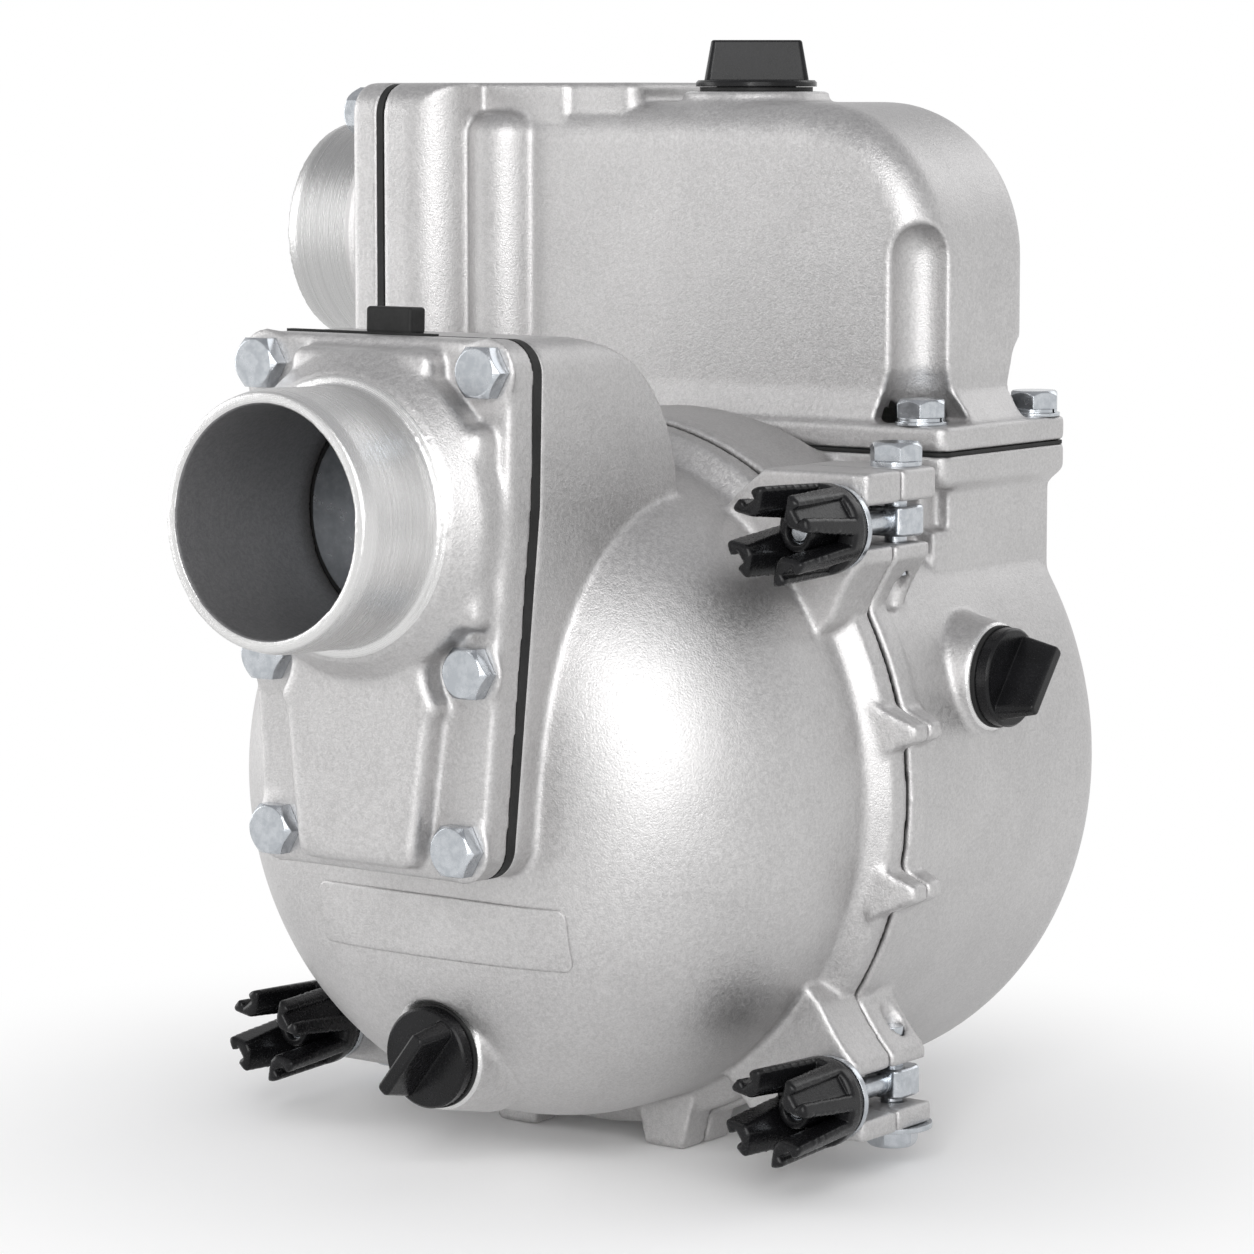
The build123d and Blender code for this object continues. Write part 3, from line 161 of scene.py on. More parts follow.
def apply(obj: bpy.types.Object, kind: str, **values: object) -> None:
    """Adds a modifier with these values and applies it.

    Args:
        obj: The object that gets the modifier.
        kind: Blender's name of the modifier.
        **values: Its settings.
    """
    use(obj)
    modifier = obj.modifiers.new(kind.title(), kind)
    for key, value in values.items():
        setattr(modifier, key, value)
    bpy.ops.object.modifier_apply(modifier=modifier.name)


def outward(obj: bpy.types.Object) -> None:
    """Merges doubled vertices and turns all faces outwards."""
    use(obj)
    bpy.ops.object.mode_set(mode="EDIT")
    bpy.ops.mesh.select_all(action="SELECT")
    bpy.ops.mesh.remove_doubles(threshold=0.00001)
    bpy.ops.mesh.normals_make_consistent(inside=False)
    bpy.ops.object.mode_set(mode="OBJECT")


def smooth(obj: bpy.types.Object, degrees: float = 35.0) -> None:
    """Shades a piece smooth, with edges sharper than this angle kept."""
    use(obj)
    bpy.ops.object.shade_smooth_by_angle(angle=math.radians(degrees))


def pick_faces(obj: bpy.types.Object, normal: Vector, above: float = 0.9) -> None:
    """Selects the faces that look along a direction, and nothing else.

    Args:
        obj: The object, in object mode.
        normal: The direction.
        above: The least cosine between a face's normal and the direction.
    """
    for v in obj.data.vertices:
        v.select = False
    for e in obj.data.edges:
        e.select = False
    for f in obj.data.polygons:
        f.select = f.normal.dot(normal) > above


def edit(obj: bpy.types.Object) -> None:
    """Opens the piece in edit mode with face selection."""
    use(obj)
    bpy.ops.object.mode_set(mode="EDIT")
    bpy.ops.mesh.select_mode(type="FACE")


def done() -> None:
    """Goes back to object mode."""
    bpy.ops.object.mode_set(mode="OBJECT")


class Graph:
    """Builds one material's nodes."""

    def __init__(self, name: str) -> None:
        """Starts an empty material with a shader and its output."""
        self.material = bpy.data.materials.new(name)
        self.material.use_nodes = True
        self.tree = self.material.node_tree
        self.tree.nodes.clear()
        self.output = self.tree.nodes.new("ShaderNodeOutputMaterial")
        self.shader = self.tree.nodes.new("ShaderNodeBsdfPrincipled")
        self.link(self.shader.outputs[0], self.output.inputs["Surface"])
        self.place = self.add("ShaderNodeTexCoord").outputs["Object"]

    def add(self, kind: str, **values: object) -> bpy.types.Node:
        """Adds a node and sets its properties.

        Args:
            kind: Blender's node type.
            **values: Property names and values.

        Returns:
            The new node.
        """
        node = self.tree.nodes.new(kind)
        for key, value in values.items():
            setattr(node, key, value)
        return node

    def link(self, out: bpy.types.NodeSocket, into: bpy.types.NodeSocket) -> None:
        """Joins two sockets."""
        self.tree.links.new(out, into)

    def feed(self, socket: bpy.types.NodeSocket, value: object) -> None:
        """Gives a socket either another socket's value or a plain one."""
        if isinstance(value, bpy.types.NodeSocket):
            self.link(value, socket)
        else:
            socket.default_value = value

    def sum(self, kind: str, a: object, b: object = 0.0) -> bpy.types.NodeSocket:
        """A math node on two values.

        Args:
            kind: The operation.
            a: The first value or socket.
            b: The second value or socket.

        Returns:
            The result's socket.
        """
        node = self.add("ShaderNodeMath", operation=kind)
        self.feed(node.inputs[0], a)
        self.feed(node.inputs[1], b)
        return node.outputs[0]

    def noise(self, scale: float, detail: float = 3.0, rough: float = 0.55, place: object = None) -> bpy.types.NodeSocket:
        """Noise on object coordinates.

        Args:
            scale: Waves per metre.
            detail: Octaves.
            rough: Strength of the finer octaves.
            place: Other coordinates to read.

        Returns:
            The noise value's socket.
        """
        node = self.add("ShaderNodeTexNoise")
        self.link(place or self.place, node.inputs["Vector"])
        node.inputs["Scale"].default_value = scale
        node.inputs["Detail"].default_value = detail
        node.inputs["Roughness"].default_value = rough
        return node.outputs[0]

    def span(self, value: object, low: float, high: float, to_low: float = 0.0, to_high: float = 1.0) -> bpy.types.NodeSocket:
        """Maps a value from one range to another, held at the ends.

        Args:
            value: The value's socket.
            low: Where the range begins.
            high: Where it ends.
            to_low: The result at the beginning.
            to_high: The result at the end.

        Returns:
            The result's socket.
        """
        node = self.add("ShaderNodeMapRange", interpolation_type="SMOOTHSTEP")
        self.feed(node.inputs["Value"], value)
        node.inputs["From Min"].default_value = low
        node.inputs["From Max"].default_value = high
        node.inputs["To Min"].default_value = to_low
        node.inputs["To Max"].default_value = to_high
        return node.outputs[0]

    def mix(self, factor: object, a: object, b: object) -> bpy.types.NodeSocket:
        """A colour between two colours."""
        node = self.add("ShaderNodeMix", data_type="RGBA")
        self.feed(node.inputs[0], factor)
        self.feed(node.inputs[6], a)
        self.feed(node.inputs[7], b)
        return node.outputs[2]

    def blend(self, factor: object, a: object, b: object) -> bpy.types.NodeSocket:
        """A number between two numbers."""
        node = self.add("ShaderNodeMix", data_type="FLOAT")
        self.feed(node.inputs[0], factor)
        self.feed(node.inputs[2], a)
        self.feed(node.inputs[3], b)
        return node.outputs[0]

    def local(self, centre: Point, turn: Point) -> tuple[bpy.types.NodeSocket, ...]:
        """Coordinates about a centre, turned back so that its axis is Z.

        Args:
            centre: The centre on the pump.
            turn: The Euler angles of its axis.

        Returns:
            The x, y and z sockets and the vector socket.
        """
        node = self.add("ShaderNodeMapping", vector_type="TEXTURE")
        self.link(self.place, node.inputs["Vector"])
        node.inputs["Location"].default_value = centre
        node.inputs["Rotation"].default_value = turn
        parts = self.add("ShaderNodeSeparateXYZ")
        self.link(node.outputs[0], parts.inputs[0])
        return (*parts.outputs[:3], node.outputs[0])

    def rounded(self, radius: float) -> bpy.types.NodeSocket:
        """Normals that turn softly over edges, as on a real piece."""
        node = self.add("ShaderNodeBevel", samples=6)
        node.inputs["Radius"].default_value = radius
        return node.outputs[0]

    def relief(self, height: object, depth: float, normal: object = None, strength: float = 1.0) -> bpy.types.NodeSocket:
        """A bump on top of other normals.

        Args:
            height: The height's socket.
            depth: Metres from its low to its high end.
            normal: The normals beneath.
            strength: Share of the bump that shows.

        Returns:
            The normal's socket.
        """
        node = self.add("ShaderNodeBump")
        self.link(height, node.inputs["Height"])
        node.inputs["Distance"].default_value = depth
        node.inputs["Strength"].default_value = strength
        if normal is not None:
            self.link(normal, node.inputs["Normal"])
        return node.outputs[0]

    def finish(self, colour: object, rough: object, metal: object, normal: object) -> bpy.types.Material:
        """Feeds the shader and gives the material back.

        Args:
            colour: Base colour, a value or socket.
            rough: Roughness.
            metal: How metallic it is.
            normal: The normal's socket.

        Returns:
            The material.
        """
        self.feed(self.shader.inputs["Base Color"], colour)
        self.feed(self.shader.inputs["Roughness"], rough)
        self.feed(self.shader.inputs["Metallic"], metal)
        self.feed(self.shader.inputs["Normal"], normal)
        return self.material


@dataclass(frozen=True)
class Turned:
    """A round place that was machined bright on a casting."""

    centre: Point
    turn: Point
    radius: float
    low: float
    high: float
    # bore: the radius within which painted shade darkens the hollow, 0 for none
    bore: float = 0.0


@dataclass(frozen=True)
class CastAluminium:
    """Pale bead blasted casting, with machined places of its own and painted shade inside their bores."""

    name: str = "cast_aluminium"
    pale: tuple = (0.60, 0.592, 0.59, 1.0)
    deep: tuple = (0.43, 0.424, 0.424, 1.0)
    bright: tuple = (0.72, 0.717, 0.715, 1.0)
    ring: tuple = (0.63, 0.626, 0.622, 1.0)
    # inside: painted shade for the insides of the bores, darker than the metal really is
    inside: tuple = (0.13, 0.13, 0.135, 1.0)
    round_edge: float = 0.0013
    turned: tuple[Turned, ...] = ()

    def make(self) -> bpy.types.Material:
        """Builds the material.

        Returns:
            The casting's material.
        """
        g = Graph(self.name)
        grain = g.noise(1500.0, 3.0, 0.6)
        blotch = g.noise(34.0, 4.0, 0.6)
        speck = g.noise(620.0, 2.0, 0.5)
        tone = g.sum("ADD", g.sum("MULTIPLY", g.span(blotch, 0.3, 0.7), 0.2), g.sum("MULTIPLY", g.span(speck, 0.3, 0.7), 0.4))
        tone = g.sum("ADD", tone, g.sum("MULTIPLY", g.span(grain, 0.35, 0.65), 0.4))
        colour = g.mix(tone, self.deep, self.pale)
        rough = g.span(speck, 0.3, 0.7, 0.4, 0.5)
        metal: object = 0.88
        soft = g.rounded(self.round_edge)
        normal = g.relief(grain, 0.00022, soft, 0.7)
        normal = g.relief(speck, 0.00025, normal, 0.35)
        for spot in self.turned:
            x, y, z, place = g.local(spot.centre, spot.turn)
            radius = g.sum("SQRT", g.sum("ADD", g.sum("MULTIPLY", x, x), g.sum("MULTIPLY", y, y)))
            near = g.sum("MULTIPLY", g.sum("LESS_THAN", radius, spot.radius), g.sum("GREATER_THAN", z, spot.low))
            near = g.sum("MULTIPLY", near, g.sum("LESS_THAN", z, spot.high))
            rings = g.add("ShaderNodeTexNoise", noise_dimensions="2D")
            flat = g.add("ShaderNodeCombineXYZ")
            g.link(radius, flat.inputs[0])
            g.link(z, flat.inputs[1])
            g.link(flat.outputs[0], rings.inputs["Vector"])
            rings.inputs["Scale"].default_value = 4200.0
            bright = g.mix(g.span(rings.outputs[0], 0.3, 0.7), self.bright, self.ring)
            colour = g.mix(near, colour, bright)
            rough = g.blend(near, rough, g.span(rings.outputs[0], 0.3, 0.7, 0.24, 0.34))
            metal = g.blend(near, metal, 0.92)
            # Painted shade: everything nearer the axis than the bore gets a dark colour, standing in for the shaded
            # inside of the hollow, and a rougher, less metallic finish.
            if spot.bore:
                bore_shade = g.sum("LESS_THAN", radius, spot.bore)
                colour = g.mix(bore_shade, colour, g.mix(tone, self.inside, (0.2, 0.198, 0.2, 1.0)))
                rough = g.blend(bore_shade, rough, 0.55)
                metal = g.blend(bore_shade, metal, 0.4)
        return g.finish(colour, rough, metal, normal)


@dataclass(frozen=True)
class PlainMetal:
    """Plated, turned or ground metal."""

    name: str
    pale: tuple
    deep: tuple
    rough: float = 0.26
    metal: float = 1.0
    round_edge: float = 0.0006
    grain: float = 260.0

    def make(self) -> bpy.types.Material:
        """Builds the material.

        Returns:
            The metal's material.
        """
        g = Graph(self.name)
        cloud = g.noise(self.grain, 4.0, 0.6)
        fine = g.noise(self.grain * 5, 2.0, 0.5)
        colour = g.mix(g.span(cloud, 0.35, 0.65), self.deep, self.pale)
        rough = g.span(cloud, 0.3, 0.7, self.rough, self.rough + 0.12)
        normal = g.relief(fine, 0.00005, g.rounded(self.round_edge), 0.35)
        return g.finish(colour, rough, self.metal, normal)


@dataclass(frozen=True)
class Dull:
    """Plastic, rubber, ceramic or carbon."""

    name: str
    pale: tuple
    deep: tuple
    rough: float = 0.4
    round_edge: float = 0.0007
    bump: float = 0.00008
    grain: float = 900.0
    shine: float = 0.5

    def make(self) -> bpy.types.Material:
        """Builds the material.

        Returns:
            The material.
        """
        g = Graph(self.name)
        cloud = g.noise(60.0, 3.0, 0.6)
        fine = g.noise(self.grain, 3.0, 0.6)
        colour = g.mix(g.span(cloud, 0.3, 0.7), self.deep, self.pale)
        rough = g.span(fine, 0.3, 0.7, self.rough - 0.05, self.rough + 0.07)
        normal = g.relief(fine, self.bump, g.rounded(self.round_edge), 0.5)
        g.shader.inputs["Specular IOR Level"].default_value = self.shine
        return g.finish(colour, rough, 0.0, normal)


@dataclass(frozen=True)
class Palette:
    """All finishes of the pump, made once."""

    casting: bpy.types.Material
    suction_casting: bpy.types.Material
    discharge_casting: bpy.types.Material
    zinc: bpy.types.Material
    plastic: bpy.types.Material
    rubber: bpy.types.Material
    iron: bpy.types.Material
    shaft: bpy.types.Material
    ceramic: bpy.types.Material
    carbon: bpy.types.Material

    @staticmethod
    def make() -> "Palette":
        """Builds every finish.

        Returns:
            The palette.
        """
        tilt = math.radians(1.5)
        suction = Turned((0.0, -0.2679, 0.103), (math.radians(90) - tilt, 0.0, 0.0), 0.0478, 0.034, 0.09, 0.0397)
        discharge = Turned((-0.137, -0.06, 0.1913), (0.0, math.radians(-90), 0.0), 0.0478, 0.024, 0.09, 0.0397)
        body = (
            Turned((0.0, -0.0592, 0.247), (0.0, 0.0, 0.0), 0.0285, -0.0006, 0.01),
            Turned((0.1325, -0.096, 0.0385), (0.0, math.radians(90), 0.0), 0.0205, -0.0012, 0.01),
            Turned((0.0, -0.2525, -0.09), (math.radians(90), 0.0, 0.0), 0.0205, -0.0012, 0.01),
            Turned((0.0, 0.0, 0.0), (math.radians(-90), 0.0, 0.0), 0.0995, -0.0006, 0.01),
        )
        return Palette(
            CastAluminium(turned=body).make(),
            CastAluminium(name="suction_casting", turned=(suction,)).make(),
            CastAluminium(
                name="discharge_casting",
                bright=(0.52, 0.518, 0.516, 1.0),
                ring=(0.44, 0.438, 0.436, 1.0),
                turned=(discharge,),
            ).make(),
            PlainMetal("zinc_plated_steel", (0.56, 0.585, 0.615, 1), (0.46, 0.485, 0.515, 1), 0.16).make(),
            Dull("black_plastic", (0.009, 0.009, 0.01, 1), (0.005, 0.005, 0.0055, 1), 0.24, shine=0.24).make(),
            Dull("black_rubber", (0.018, 0.018, 0.018, 1), (0.01, 0.01, 0.01, 1), 0.55, shine=0.25).make(),
            PlainMetal("ductile_iron", (0.24, 0.24, 0.25, 1), (0.13, 0.13, 0.14, 1), 0.5, 0.7, 0.001).make(),
            PlainMetal("ground_shaft_steel", (0.66, 0.66, 0.67, 1), (0.52, 0.52, 0.53, 1), 0.22).make(),
            Dull("lapped_ceramic", (0.86, 0.84, 0.8, 1), (0.78, 0.76, 0.72, 1), 0.2).make(),
            Dull("lapped_carbon", (0.06, 0.06, 0.062, 1), (0.035, 0.035, 0.036, 1), 0.3).make(),
        )


@dataclass
class Solids:
    """The solids from the frame and the finish of each."""

    cast: tuple[str, ...] = ("rear_casing", "front_cover", "discharge_tank")
    iron: tuple[str, ...] = ("impeller", "volute", "wear_plate")
    shaft: tuple[str, ...] = ("stub_shaft", "seal_spring")
    plastic: tuple[str, ...] = ("filler_cap", "front_drain_plug", "side_drain_plug", "clamp_knob")
    rubber: tuple[str, ...] = ("gasket", "cover_seal", "suction_flap")

    def finish_of(self, node: str, palette: Palette) -> bpy.types.Material:
        """The finish of one node.

        Args:
            node: The node's name.
            palette: All finishes.

        Returns:
            Its material.
        """
        if node == "suction_flange":
            return palette.suction_casting
        if node == "discharge_flange":
            return palette.discharge_casting
        if node in self.cast:
            return palette.casting
        if node in self.iron:
            return palette.iron
        if node in self.shaft:
            return palette.shaft
        if node == "seal_seat":
            return palette.ceramic
        if node == "seal_face":
            return palette.carbon
        if any(word in node for word in self.rubber):
            return palette.rubber
        if any(node.startswith(word) for word in self.plastic):
            return palette.plastic
        return palette.zinc

    def dress(self, palette: Palette) -> None:
        """Gives every node its finish."""
        for name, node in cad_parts.items():
            node.data.materials.clear()
            node.data.materials.append(self.finish_of(name, palette))
        log.info("solids: %d nodes dressed", len(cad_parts))


@dataclass
class Thread:
    """A screw thread wound round a stem along +Z."""

    radius: float
    depth: float
    pitch: float
    turns: float
    start: float
    steps: int = 28
    foot: float = 0.36
    crest: float = 0.12

    def build(self, name: str) -> bpy.types.Object:
        """Models one thread by winding a ridge round the axis.

        Args:
            name: The piece's name.

        Returns:
            The thread, about the origin, along +Z.
        """
        bpy.ops.object.select_all(action="DESELECT")
        bpy.ops.mesh.primitive_plane_add(size=1.0, location=(self.radius, 0.0, self.start))
        obj = bpy.context.object
        edit(obj)
        bpy.ops.mesh.select_all(action="SELECT")
        bpy.ops.transform.resize(value=(2 * self.depth, 0.0, 1.0))
        done()
        corners = [
            (self.radius - self.depth, 0.0, self.start - self.pitch * self.foot),
            (self.radius + self.depth, 0.0, self.start - self.pitch * self.crest),
            (self.radius + self.depth, 0.0, self.start + self.pitch * self.crest),
            (self.radius - self.depth, 0.0, self.start + self.pitch * self.foot),
        ]
        ring = [obj.data.loops[i].vertex_index for i in obj.data.polygons[0].loop_indices]
        for index, corner in zip(ring, corners):
            obj.data.vertices[index].co = Vector(corner) - Vector((self.radius, 0.0, self.start))
        settle(obj, name)
        apply(
            obj,
            "SCREW",
            angle=math.radians(360 * self.turns),
            screw_offset=self.pitch * self.turns,
            steps=int(self.steps * self.turns),
            render_steps=int(self.steps * self.turns),
            axis="Z",
            use_normal_calculate=True,
        )
        outward(obj)
        smooth(obj, 40)
        return obj


@dataclass
class CapThreads:
    """Threads of the filler cap and of the two drain plugs."""

    cap_stem: float = 0.015
    plug_stem: float = 0.0125
    ridge: float = 0.00022
    pitch: float = 0.004
    turns: float = 2.2
    tip: float = -0.0108

    def build(self, palette: Palette) -> None:
        """Models the three threads and fits them to their caps."""
        seats = {
            "filler_cap": (self.cap_stem, (0.0, -0.0592, 0.247), Axis.UP),
            "front_drain_plug": (self.plug_stem, (0.0, -0.2525, -0.09), Axis.FORWARD),
            "side_drain_plug": (self.plug_stem, (0.1325, -0.096, 0.0385), Axis.RIGHT),
        }
        for body, (radius, at, axis) in seats.items():
            thread = Thread(radius, self.ridge, self.pitch, self.turns, self.tip)
            obj = thread.build(f"{body}_thread")
            place(obj, at, axis.turn())
            obj.data.materials.append(palette.plastic)
            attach(obj, body)
        log.info("cap threads: 3 pieces")


@dataclass
class LabelPad:
    """The bare raised pad on the dome, where a label would be cast in relief."""

    left: float = -0.0475
    right: float = 0.0605
    low: float = -0.0535
    high: float = -0.0312
    front: float = -0.285
    rise: float = 0.0006
    corner: float = 0.0035

    def build(self, palette: Palette) -> None:
        """Models the pad as a flat sheet, lays it on the dome and gives it its thickness."""
        bpy.ops.object.select_all(action="DESELECT")
        middle = ((self.left + self.right) / 2, self.front, (self.low + self.high) / 2)
        bpy.ops.mesh.primitive_plane_add(size=1.0, location=middle, rotation=(math.radians(90), 0.0, 0.0))
        obj = bpy.context.object
        obj.scale = (self.right - self.left, self.high - self.low, 1.0)
        settle(obj, "label_pad")
        use(obj)
        bpy.ops.object.mode_set(mode="EDIT")
        bpy.ops.mesh.select_mode(type="VERT")
        bpy.ops.mesh.select_all(action="SELECT")
        bpy.ops.mesh.bevel(offset=self.corner, segments=6, affect="VERTICES")
        bpy.ops.mesh.select_all(action="SELECT")
        bpy.ops.mesh.quads_convert_to_tris(quad_method="BEAUTY", ngon_method="BEAUTY")
        bpy.ops.mesh.subdivide(number_cuts=12)
        done()
        apply(
            obj,
            "SHRINKWRAP",
            target=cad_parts["front_cover"],
            wrap_method="PROJECT",
            use_project_y=True,
            use_negative_direction=False,
            use_positive_direction=True,
        )
        apply(obj, "SOLIDIFY", thickness=2 * self.rise, offset=0.0)
        apply(obj, "BEVEL", width=0.0003, segments=2, limit_method="ANGLE", angle_limit=math.radians(50))
        smooth(obj)
        obj.data.materials.append(palette.casting)
        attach(obj, "pump")
        log.info("label pad: 1 piece")


@dataclass(frozen=True)
class SoftCasting:
    """A casting that gets the soft blends of a sand mould where the solid has plain edges."""

    node: str
    finish: str
    grid: float
    passes: int
    keep: float
    centre: Point = (0.0, 0.0, 0.0)
    axis: Point = (0.0, 0.0, 0.0)
    low: float = -1.0
    high: float = 1.0

    def build(self, palette: Palette) -> None:
        """Softens a copy of the solid and puts it in the solid's place.

        Args:
            palette: All finishes.
        """
        obj = twin(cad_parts[self.node], f"soft_{self.node}")
        outward(obj)
        apply(obj, "REMESH", mode="VOXEL", voxel_size=self.grid)
        cast = obj.vertex_groups.new(name="cast")
        centre, axis = Vector(self.centre), Vector(self.axis)
        chosen = [v.index for v in obj.data.vertices if self.low < (v.co - centre).dot(axis) < self.high]
        cast.add(chosen, 1.0, "REPLACE")
        apply(obj, "SMOOTH", factor=0.5, iterations=self.passes, vertex_group="cast")
        apply(obj, "SMOOTH", factor=0.5, iterations=2)
        apply(obj, "DECIMATE", ratio=self.keep)
        smooth(obj, 60)
        obj.data.materials.clear()
        obj.data.materials.append(getattr(palette, self.finish))
        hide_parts(self.node)
        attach(obj, "pump")
        log.info("%s: 1 piece, %d faces", self.node, len(obj.data.polygons))


@dataclass
class Castings:
    """The five castings that show, each with blends of its own size."""

    suction_tilt: float = 1.5
    suction_face: Point = (0.0, -0.2679, 0.103)
    discharge_face: Point = (-0.137, -0.06, 0.1913)

    def build(self, palette: Palette) -> None:
        """Softens all castings.

        Args:
            palette: All finishes.
        """
        lean = math.radians(self.suction_tilt)
        ahead = (0.0, -math.cos(lean), math.sin(lean))
        castings = (
            SoftCasting("suction_flange", "suction_casting", 0.0008, 36, 0.6, self.suction_face, ahead, 0.01, 0.0345),
            SoftCasting("discharge_flange", "discharge_casting", 0.0008, 20, 0.6, self.discharge_face, (-1.0, 0.0, 0.0), 0.006, 0.02),
            SoftCasting("front_cover", "casting", 0.0011, 6, 0.27),
            SoftCasting("rear_casing", "casting", 0.0012, 5, 0.27),
            SoftCasting("discharge_tank", "casting", 0.0011, 8, 0.35),
        )
        for casting in castings:
            casting.build(palette)


@dataclass
class Knobs:
    """Clamp knobs of moulded plastic, with thick prongs and round edges."""

    axis_x: float = 0.1147
    axis_z: float = 0.097
    back_y: float = -0.1772
    grid: float = 0.0004
    grow: float = 0.0009
    hub: float = 0.0085
    back_room: float = 0.0014
    passes: int = 9

    def build(self, palette: Palette) -> None:
        """Moulds the first knob and copies it to the other clamps."""
        pattern = self.mould()
        for corner in Corner:
            side, height = corner.value
            body = f"clamp_knob_{corner.body}"
            obj = twin(pattern, f"moulded_{body}")
            place(obj, (side * self.axis_x - self.axis_x, 0.0, height - self.axis_z))
            obj.data.materials.clear()
            obj.data.materials.append(palette.plastic)
            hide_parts(body)
            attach(obj, body)
        bpy.data.objects.remove(pattern)
        log.info("knobs: 4 pieces")

    def mould(self) -> bpy.types.Object:
        """Thickens and rounds a copy of the plain knob.

        Returns:
            The first knob, in its place on the top right clamp.
        """
        obj = twin(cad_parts["clamp_knob_top_right"], "knob_pattern")
        outward(obj)
        apply(obj, "REMESH", mode="VOXEL", voxel_size=self.grid)
        prongs = obj.vertex_groups.new(name="prongs")
        chosen = []
        for v in obj.data.vertices:
            reach = math.hypot(v.co.x - self.axis_x, v.co.z - self.axis_z)
            if reach > self.hub and v.co.y < self.back_y - self.back_room:
                chosen.append(v.index)
        prongs.add(chosen, 1.0, "REPLACE")
        apply(obj, "SMOOTH", factor=0.5, iterations=self.passes)
        apply(obj, "DISPLACE", strength=self.grow, mid_level=0.0, vertex_group="prongs")
        apply(obj, "SMOOTH", factor=0.5, iterations=self.passes, vertex_group="prongs")
        apply(obj, "DECIMATE", ratio=0.35)
        smooth(obj, 60)
        return obj


@dataclass
class RodThreads:
    """Threads on the ends of the four swing bolts."""

    radius: float = 0.004
    pitch: float = 0.00125
    pivot_y: float = 0.014
    rod_reach: float = 0.060
    length: float = 0.030
    ridge: float = 0.00013

    def build(self, palette: Palette) -> None:
        """Models one thread and copies it to each swing bolt."""
        turns = self.length / self.pitch
        pattern = Thread(self.radius, self.ridge, self.pitch, turns, 0.0, 16).build("rod_thread")
        for corner in Corner:
            side, height = corner.value
            obj = twin(pattern, f"rod_thread_{corner.body}")
            end = seam(side * 0.1147, self.pivot_y - self.rod_reach + self.length + 0.0008, height)
            place(obj, end, Axis.FORWARD.turn())
            obj.data.materials.append(palette.zinc)
            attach(obj, f"swing_bolt_{corner.body}")
        bpy.data.objects.remove(pattern)
        log.info("rod threads: 4 pieces")


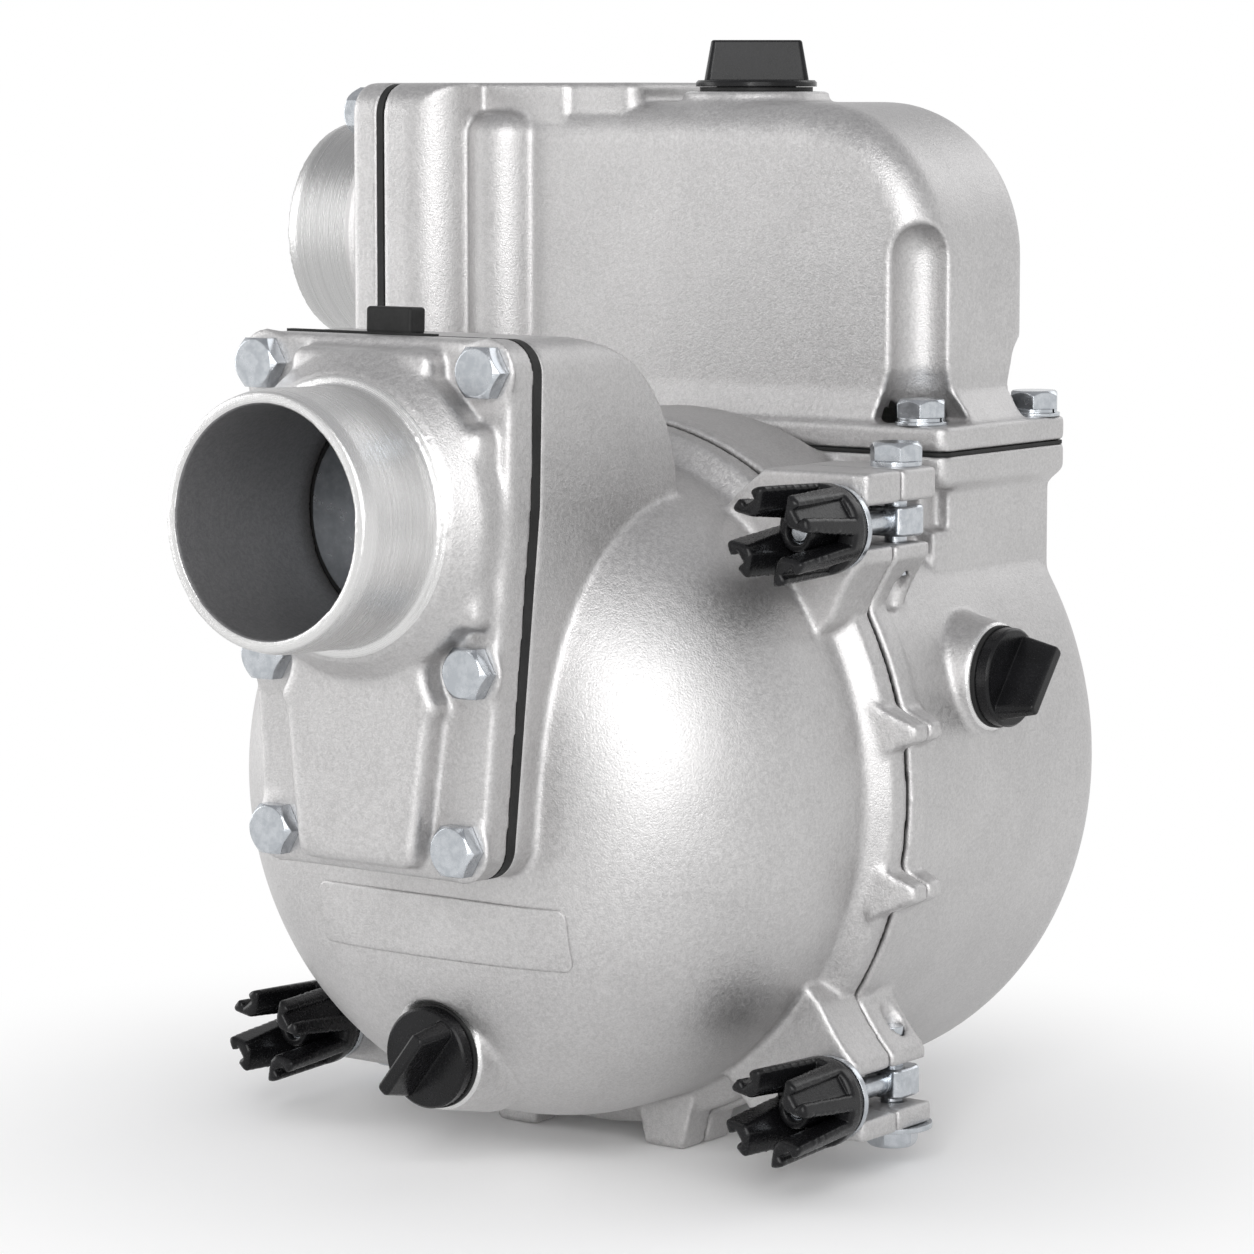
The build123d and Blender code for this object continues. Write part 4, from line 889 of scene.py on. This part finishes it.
@dataclass
class Studio:
    """Floor, lamps, world and camera."""

    floor: float = -0.1351
    eye: Point = (0.984595, -1.457547, 0.244790)
    azimuth: float = 36.786
    tilt: float = 6.715
    focal_pixels: float = 4500.0
    photo_pixels: float = 1254.0
    sensor: float = 36.0

    def build(self) -> None:
        """Sets the stage and reports it."""
        self.lay_floor()
        self.light()
        self.shoot()
        log.info("studio: floor, lamps and camera")

    def lay_floor(self) -> None:
        """A wide pale floor that fades into the white of the room and keeps the pump's shadow."""
        bpy.ops.object.select_all(action="DESELECT")
        bpy.ops.mesh.primitive_plane_add(size=30.0, location=(0.0, 0.0, self.floor))
        floor = settle(bpy.context.object, "studio_floor")
        g = Graph("studio_floor")
        cloud = g.noise(3.0, 2.0, 0.5)
        colour = g.mix(cloud, (0.96, 0.96, 0.96, 1.0), (0.975, 0.975, 0.975, 1.0))
        g.finish(colour, 0.8, 0.0, g.relief(cloud, 0.0001))
        g.shader.inputs["Specular IOR Level"].default_value = 0.1
        x, y, _, _ = g.local((0.0, -0.15, 0.0), (0.0, 0.0, 0.0))
        away = g.sum("SQRT", g.sum("ADD", g.sum("MULTIPLY", x, x), g.sum("MULTIPLY", y, y)))
        path = g.add("ShaderNodeLightPath")
        seen = g.sum("MAXIMUM", path.outputs["Is Camera Ray"], path.outputs["Is Transmission Ray"])
        share = g.sum("MULTIPLY", seen, g.span(away, 0.13, 0.36))
        mirrored = g.sum("MULTIPLY", path.outputs["Is Glossy Ray"], g.span(away, 0.12, 0.4, 0.05, 1.0))
        white = g.add("ShaderNodeEmission")
        white.inputs["Strength"].default_value = 1.0
        both = g.add("ShaderNodeMixShader")
        g.link(g.sum("MAXIMUM", share, mirrored), both.inputs[0])
        g.link(g.shader.outputs[0], both.inputs[1])
        g.link(white.outputs[0], both.inputs[2])
        g.link(both.outputs[0], g.output.inputs["Surface"])
        floor.data.materials.append(g.material)
        floor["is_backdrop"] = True

    def lamp(self, name: str, at: Point, size: tuple[float, float], power: float) -> None:
        """One soft lamp that looks at the pump.

        Args:
            name: The lamp's name.
            at: Where it hangs.
            size: Width and height.
            power: Watts.
        """
        data = bpy.data.lights.new(name, "AREA")
        data.shape = "RECTANGLE"
        data.size, data.size_y = size
        data.energy = power
        obj = bpy.data.objects.new(name, data)
        bpy.context.scene.collection.objects.link(obj)
        obj.location = at
        obj.rotation_euler = (Vector((0.0, -0.1, 0.03)) - Vector(at)).to_track_quat("-Z", "Y").to_euler()

    def light(self) -> None:
        """A large lamp in front, two weaker ones at the sides, and an even room."""
        self.lamp("camera_softbox", (1.55, -1.82, 1.0), (1.8, 1.7), 26.0)
        self.lamp("front_strip", (0.95, -2.25, 0.7), (0.45, 1.9), 15.0)
        self.lamp("left_softbox", (-2.2, -0.9, 0.55), (1.3, 1.5), 17.0)
        self.lamp("back_softbox", (0.5, 1.76, 1.28), (1.2, 1.0), 5.0)
        world = bpy.data.worlds.new("white_room")
        bpy.context.scene.world = world
        world.use_nodes = True
        tree = world.node_tree
        back = tree.nodes["Background"]
        path = tree.nodes.new("ShaderNodeLightPath")
        glossy = self.larger(tree, path.outputs["Is Camera Ray"], path.outputs["Is Glossy Ray"])
        seen = self.larger(tree, glossy, path.outputs["Is Transmission Ray"])
        strength = tree.nodes.new("ShaderNodeMapRange")
        strength.inputs["To Min"].default_value = 0.95
        strength.inputs["To Max"].default_value = 1.0
        tree.links.new(seen, strength.inputs["Value"])
        tree.links.new(strength.outputs[0], back.inputs["Strength"])
        way = tree.nodes.new("ShaderNodeTexCoord")
        height = tree.nodes.new("ShaderNodeSeparateXYZ")
        tree.links.new(way.outputs["Generated"], height.inputs[0])
        ceiling = tree.nodes.new("ShaderNodeMapRange")
        ceiling.inputs["From Min"].default_value = 0.1
        ceiling.inputs["From Max"].default_value = 0.75
        tree.links.new(height.outputs["Z"], ceiling.inputs["Value"])
        tone = tree.nodes.new("ShaderNodeMix")
        tone.data_type = "RGBA"
        tree.links.new(ceiling.outputs[0], tone.inputs[0])
        tone.inputs[6].default_value = (1.0, 1.0, 1.0, 1.0)
        tone.inputs[7].default_value = (0.5, 0.5, 0.51, 1.0)
        tree.links.new(tone.outputs[2], back.inputs["Color"])

    def larger(self, tree: bpy.types.NodeTree, a: bpy.types.NodeSocket, b: bpy.types.NodeSocket) -> bpy.types.NodeSocket:
        """The larger of two values, in the world's nodes."""
        node = tree.nodes.new("ShaderNodeMath")
        node.operation = "MAXIMUM"
        tree.links.new(a, node.inputs[0])
        tree.links.new(b, node.inputs[1])
        return node.outputs[0]

    def shoot(self) -> None:
        """Places the camera as it stood for the photo."""
        data = bpy.data.cameras.new("photo_camera")
        data.sensor_width = self.sensor
        data.lens = self.sensor * self.focal_pixels / self.photo_pixels
        data.clip_end = 50.0
        camera = bpy.data.objects.new("photo_camera", data)
        bpy.context.scene.collection.objects.link(camera)
        camera.location = self.eye
        camera.rotation_euler = (math.radians(90 - self.tilt), 0.0, math.radians(self.azimuth))
        bpy.context.scene.camera = camera
        bpy.context.scene.view_settings.view_transform = "Standard"


def corners() -> list[list[float]]:
    """The shown object's lowest and highest corner, as plain lists."""
    low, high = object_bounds()
    return [[float(v) for v in low], [float(v) for v in high]]


def main() -> None:
    """Builds every part of the scene in order."""
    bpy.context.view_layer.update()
    palette = Palette.make()
    Solids().dress(palette)
    LabelPad().build(palette)
    CapThreads().build(palette)
    Castings().build(palette)
    Knobs().build(palette)
    RodThreads().build(palette)
    Studio().build()


if __name__ == "__main__":
    main()
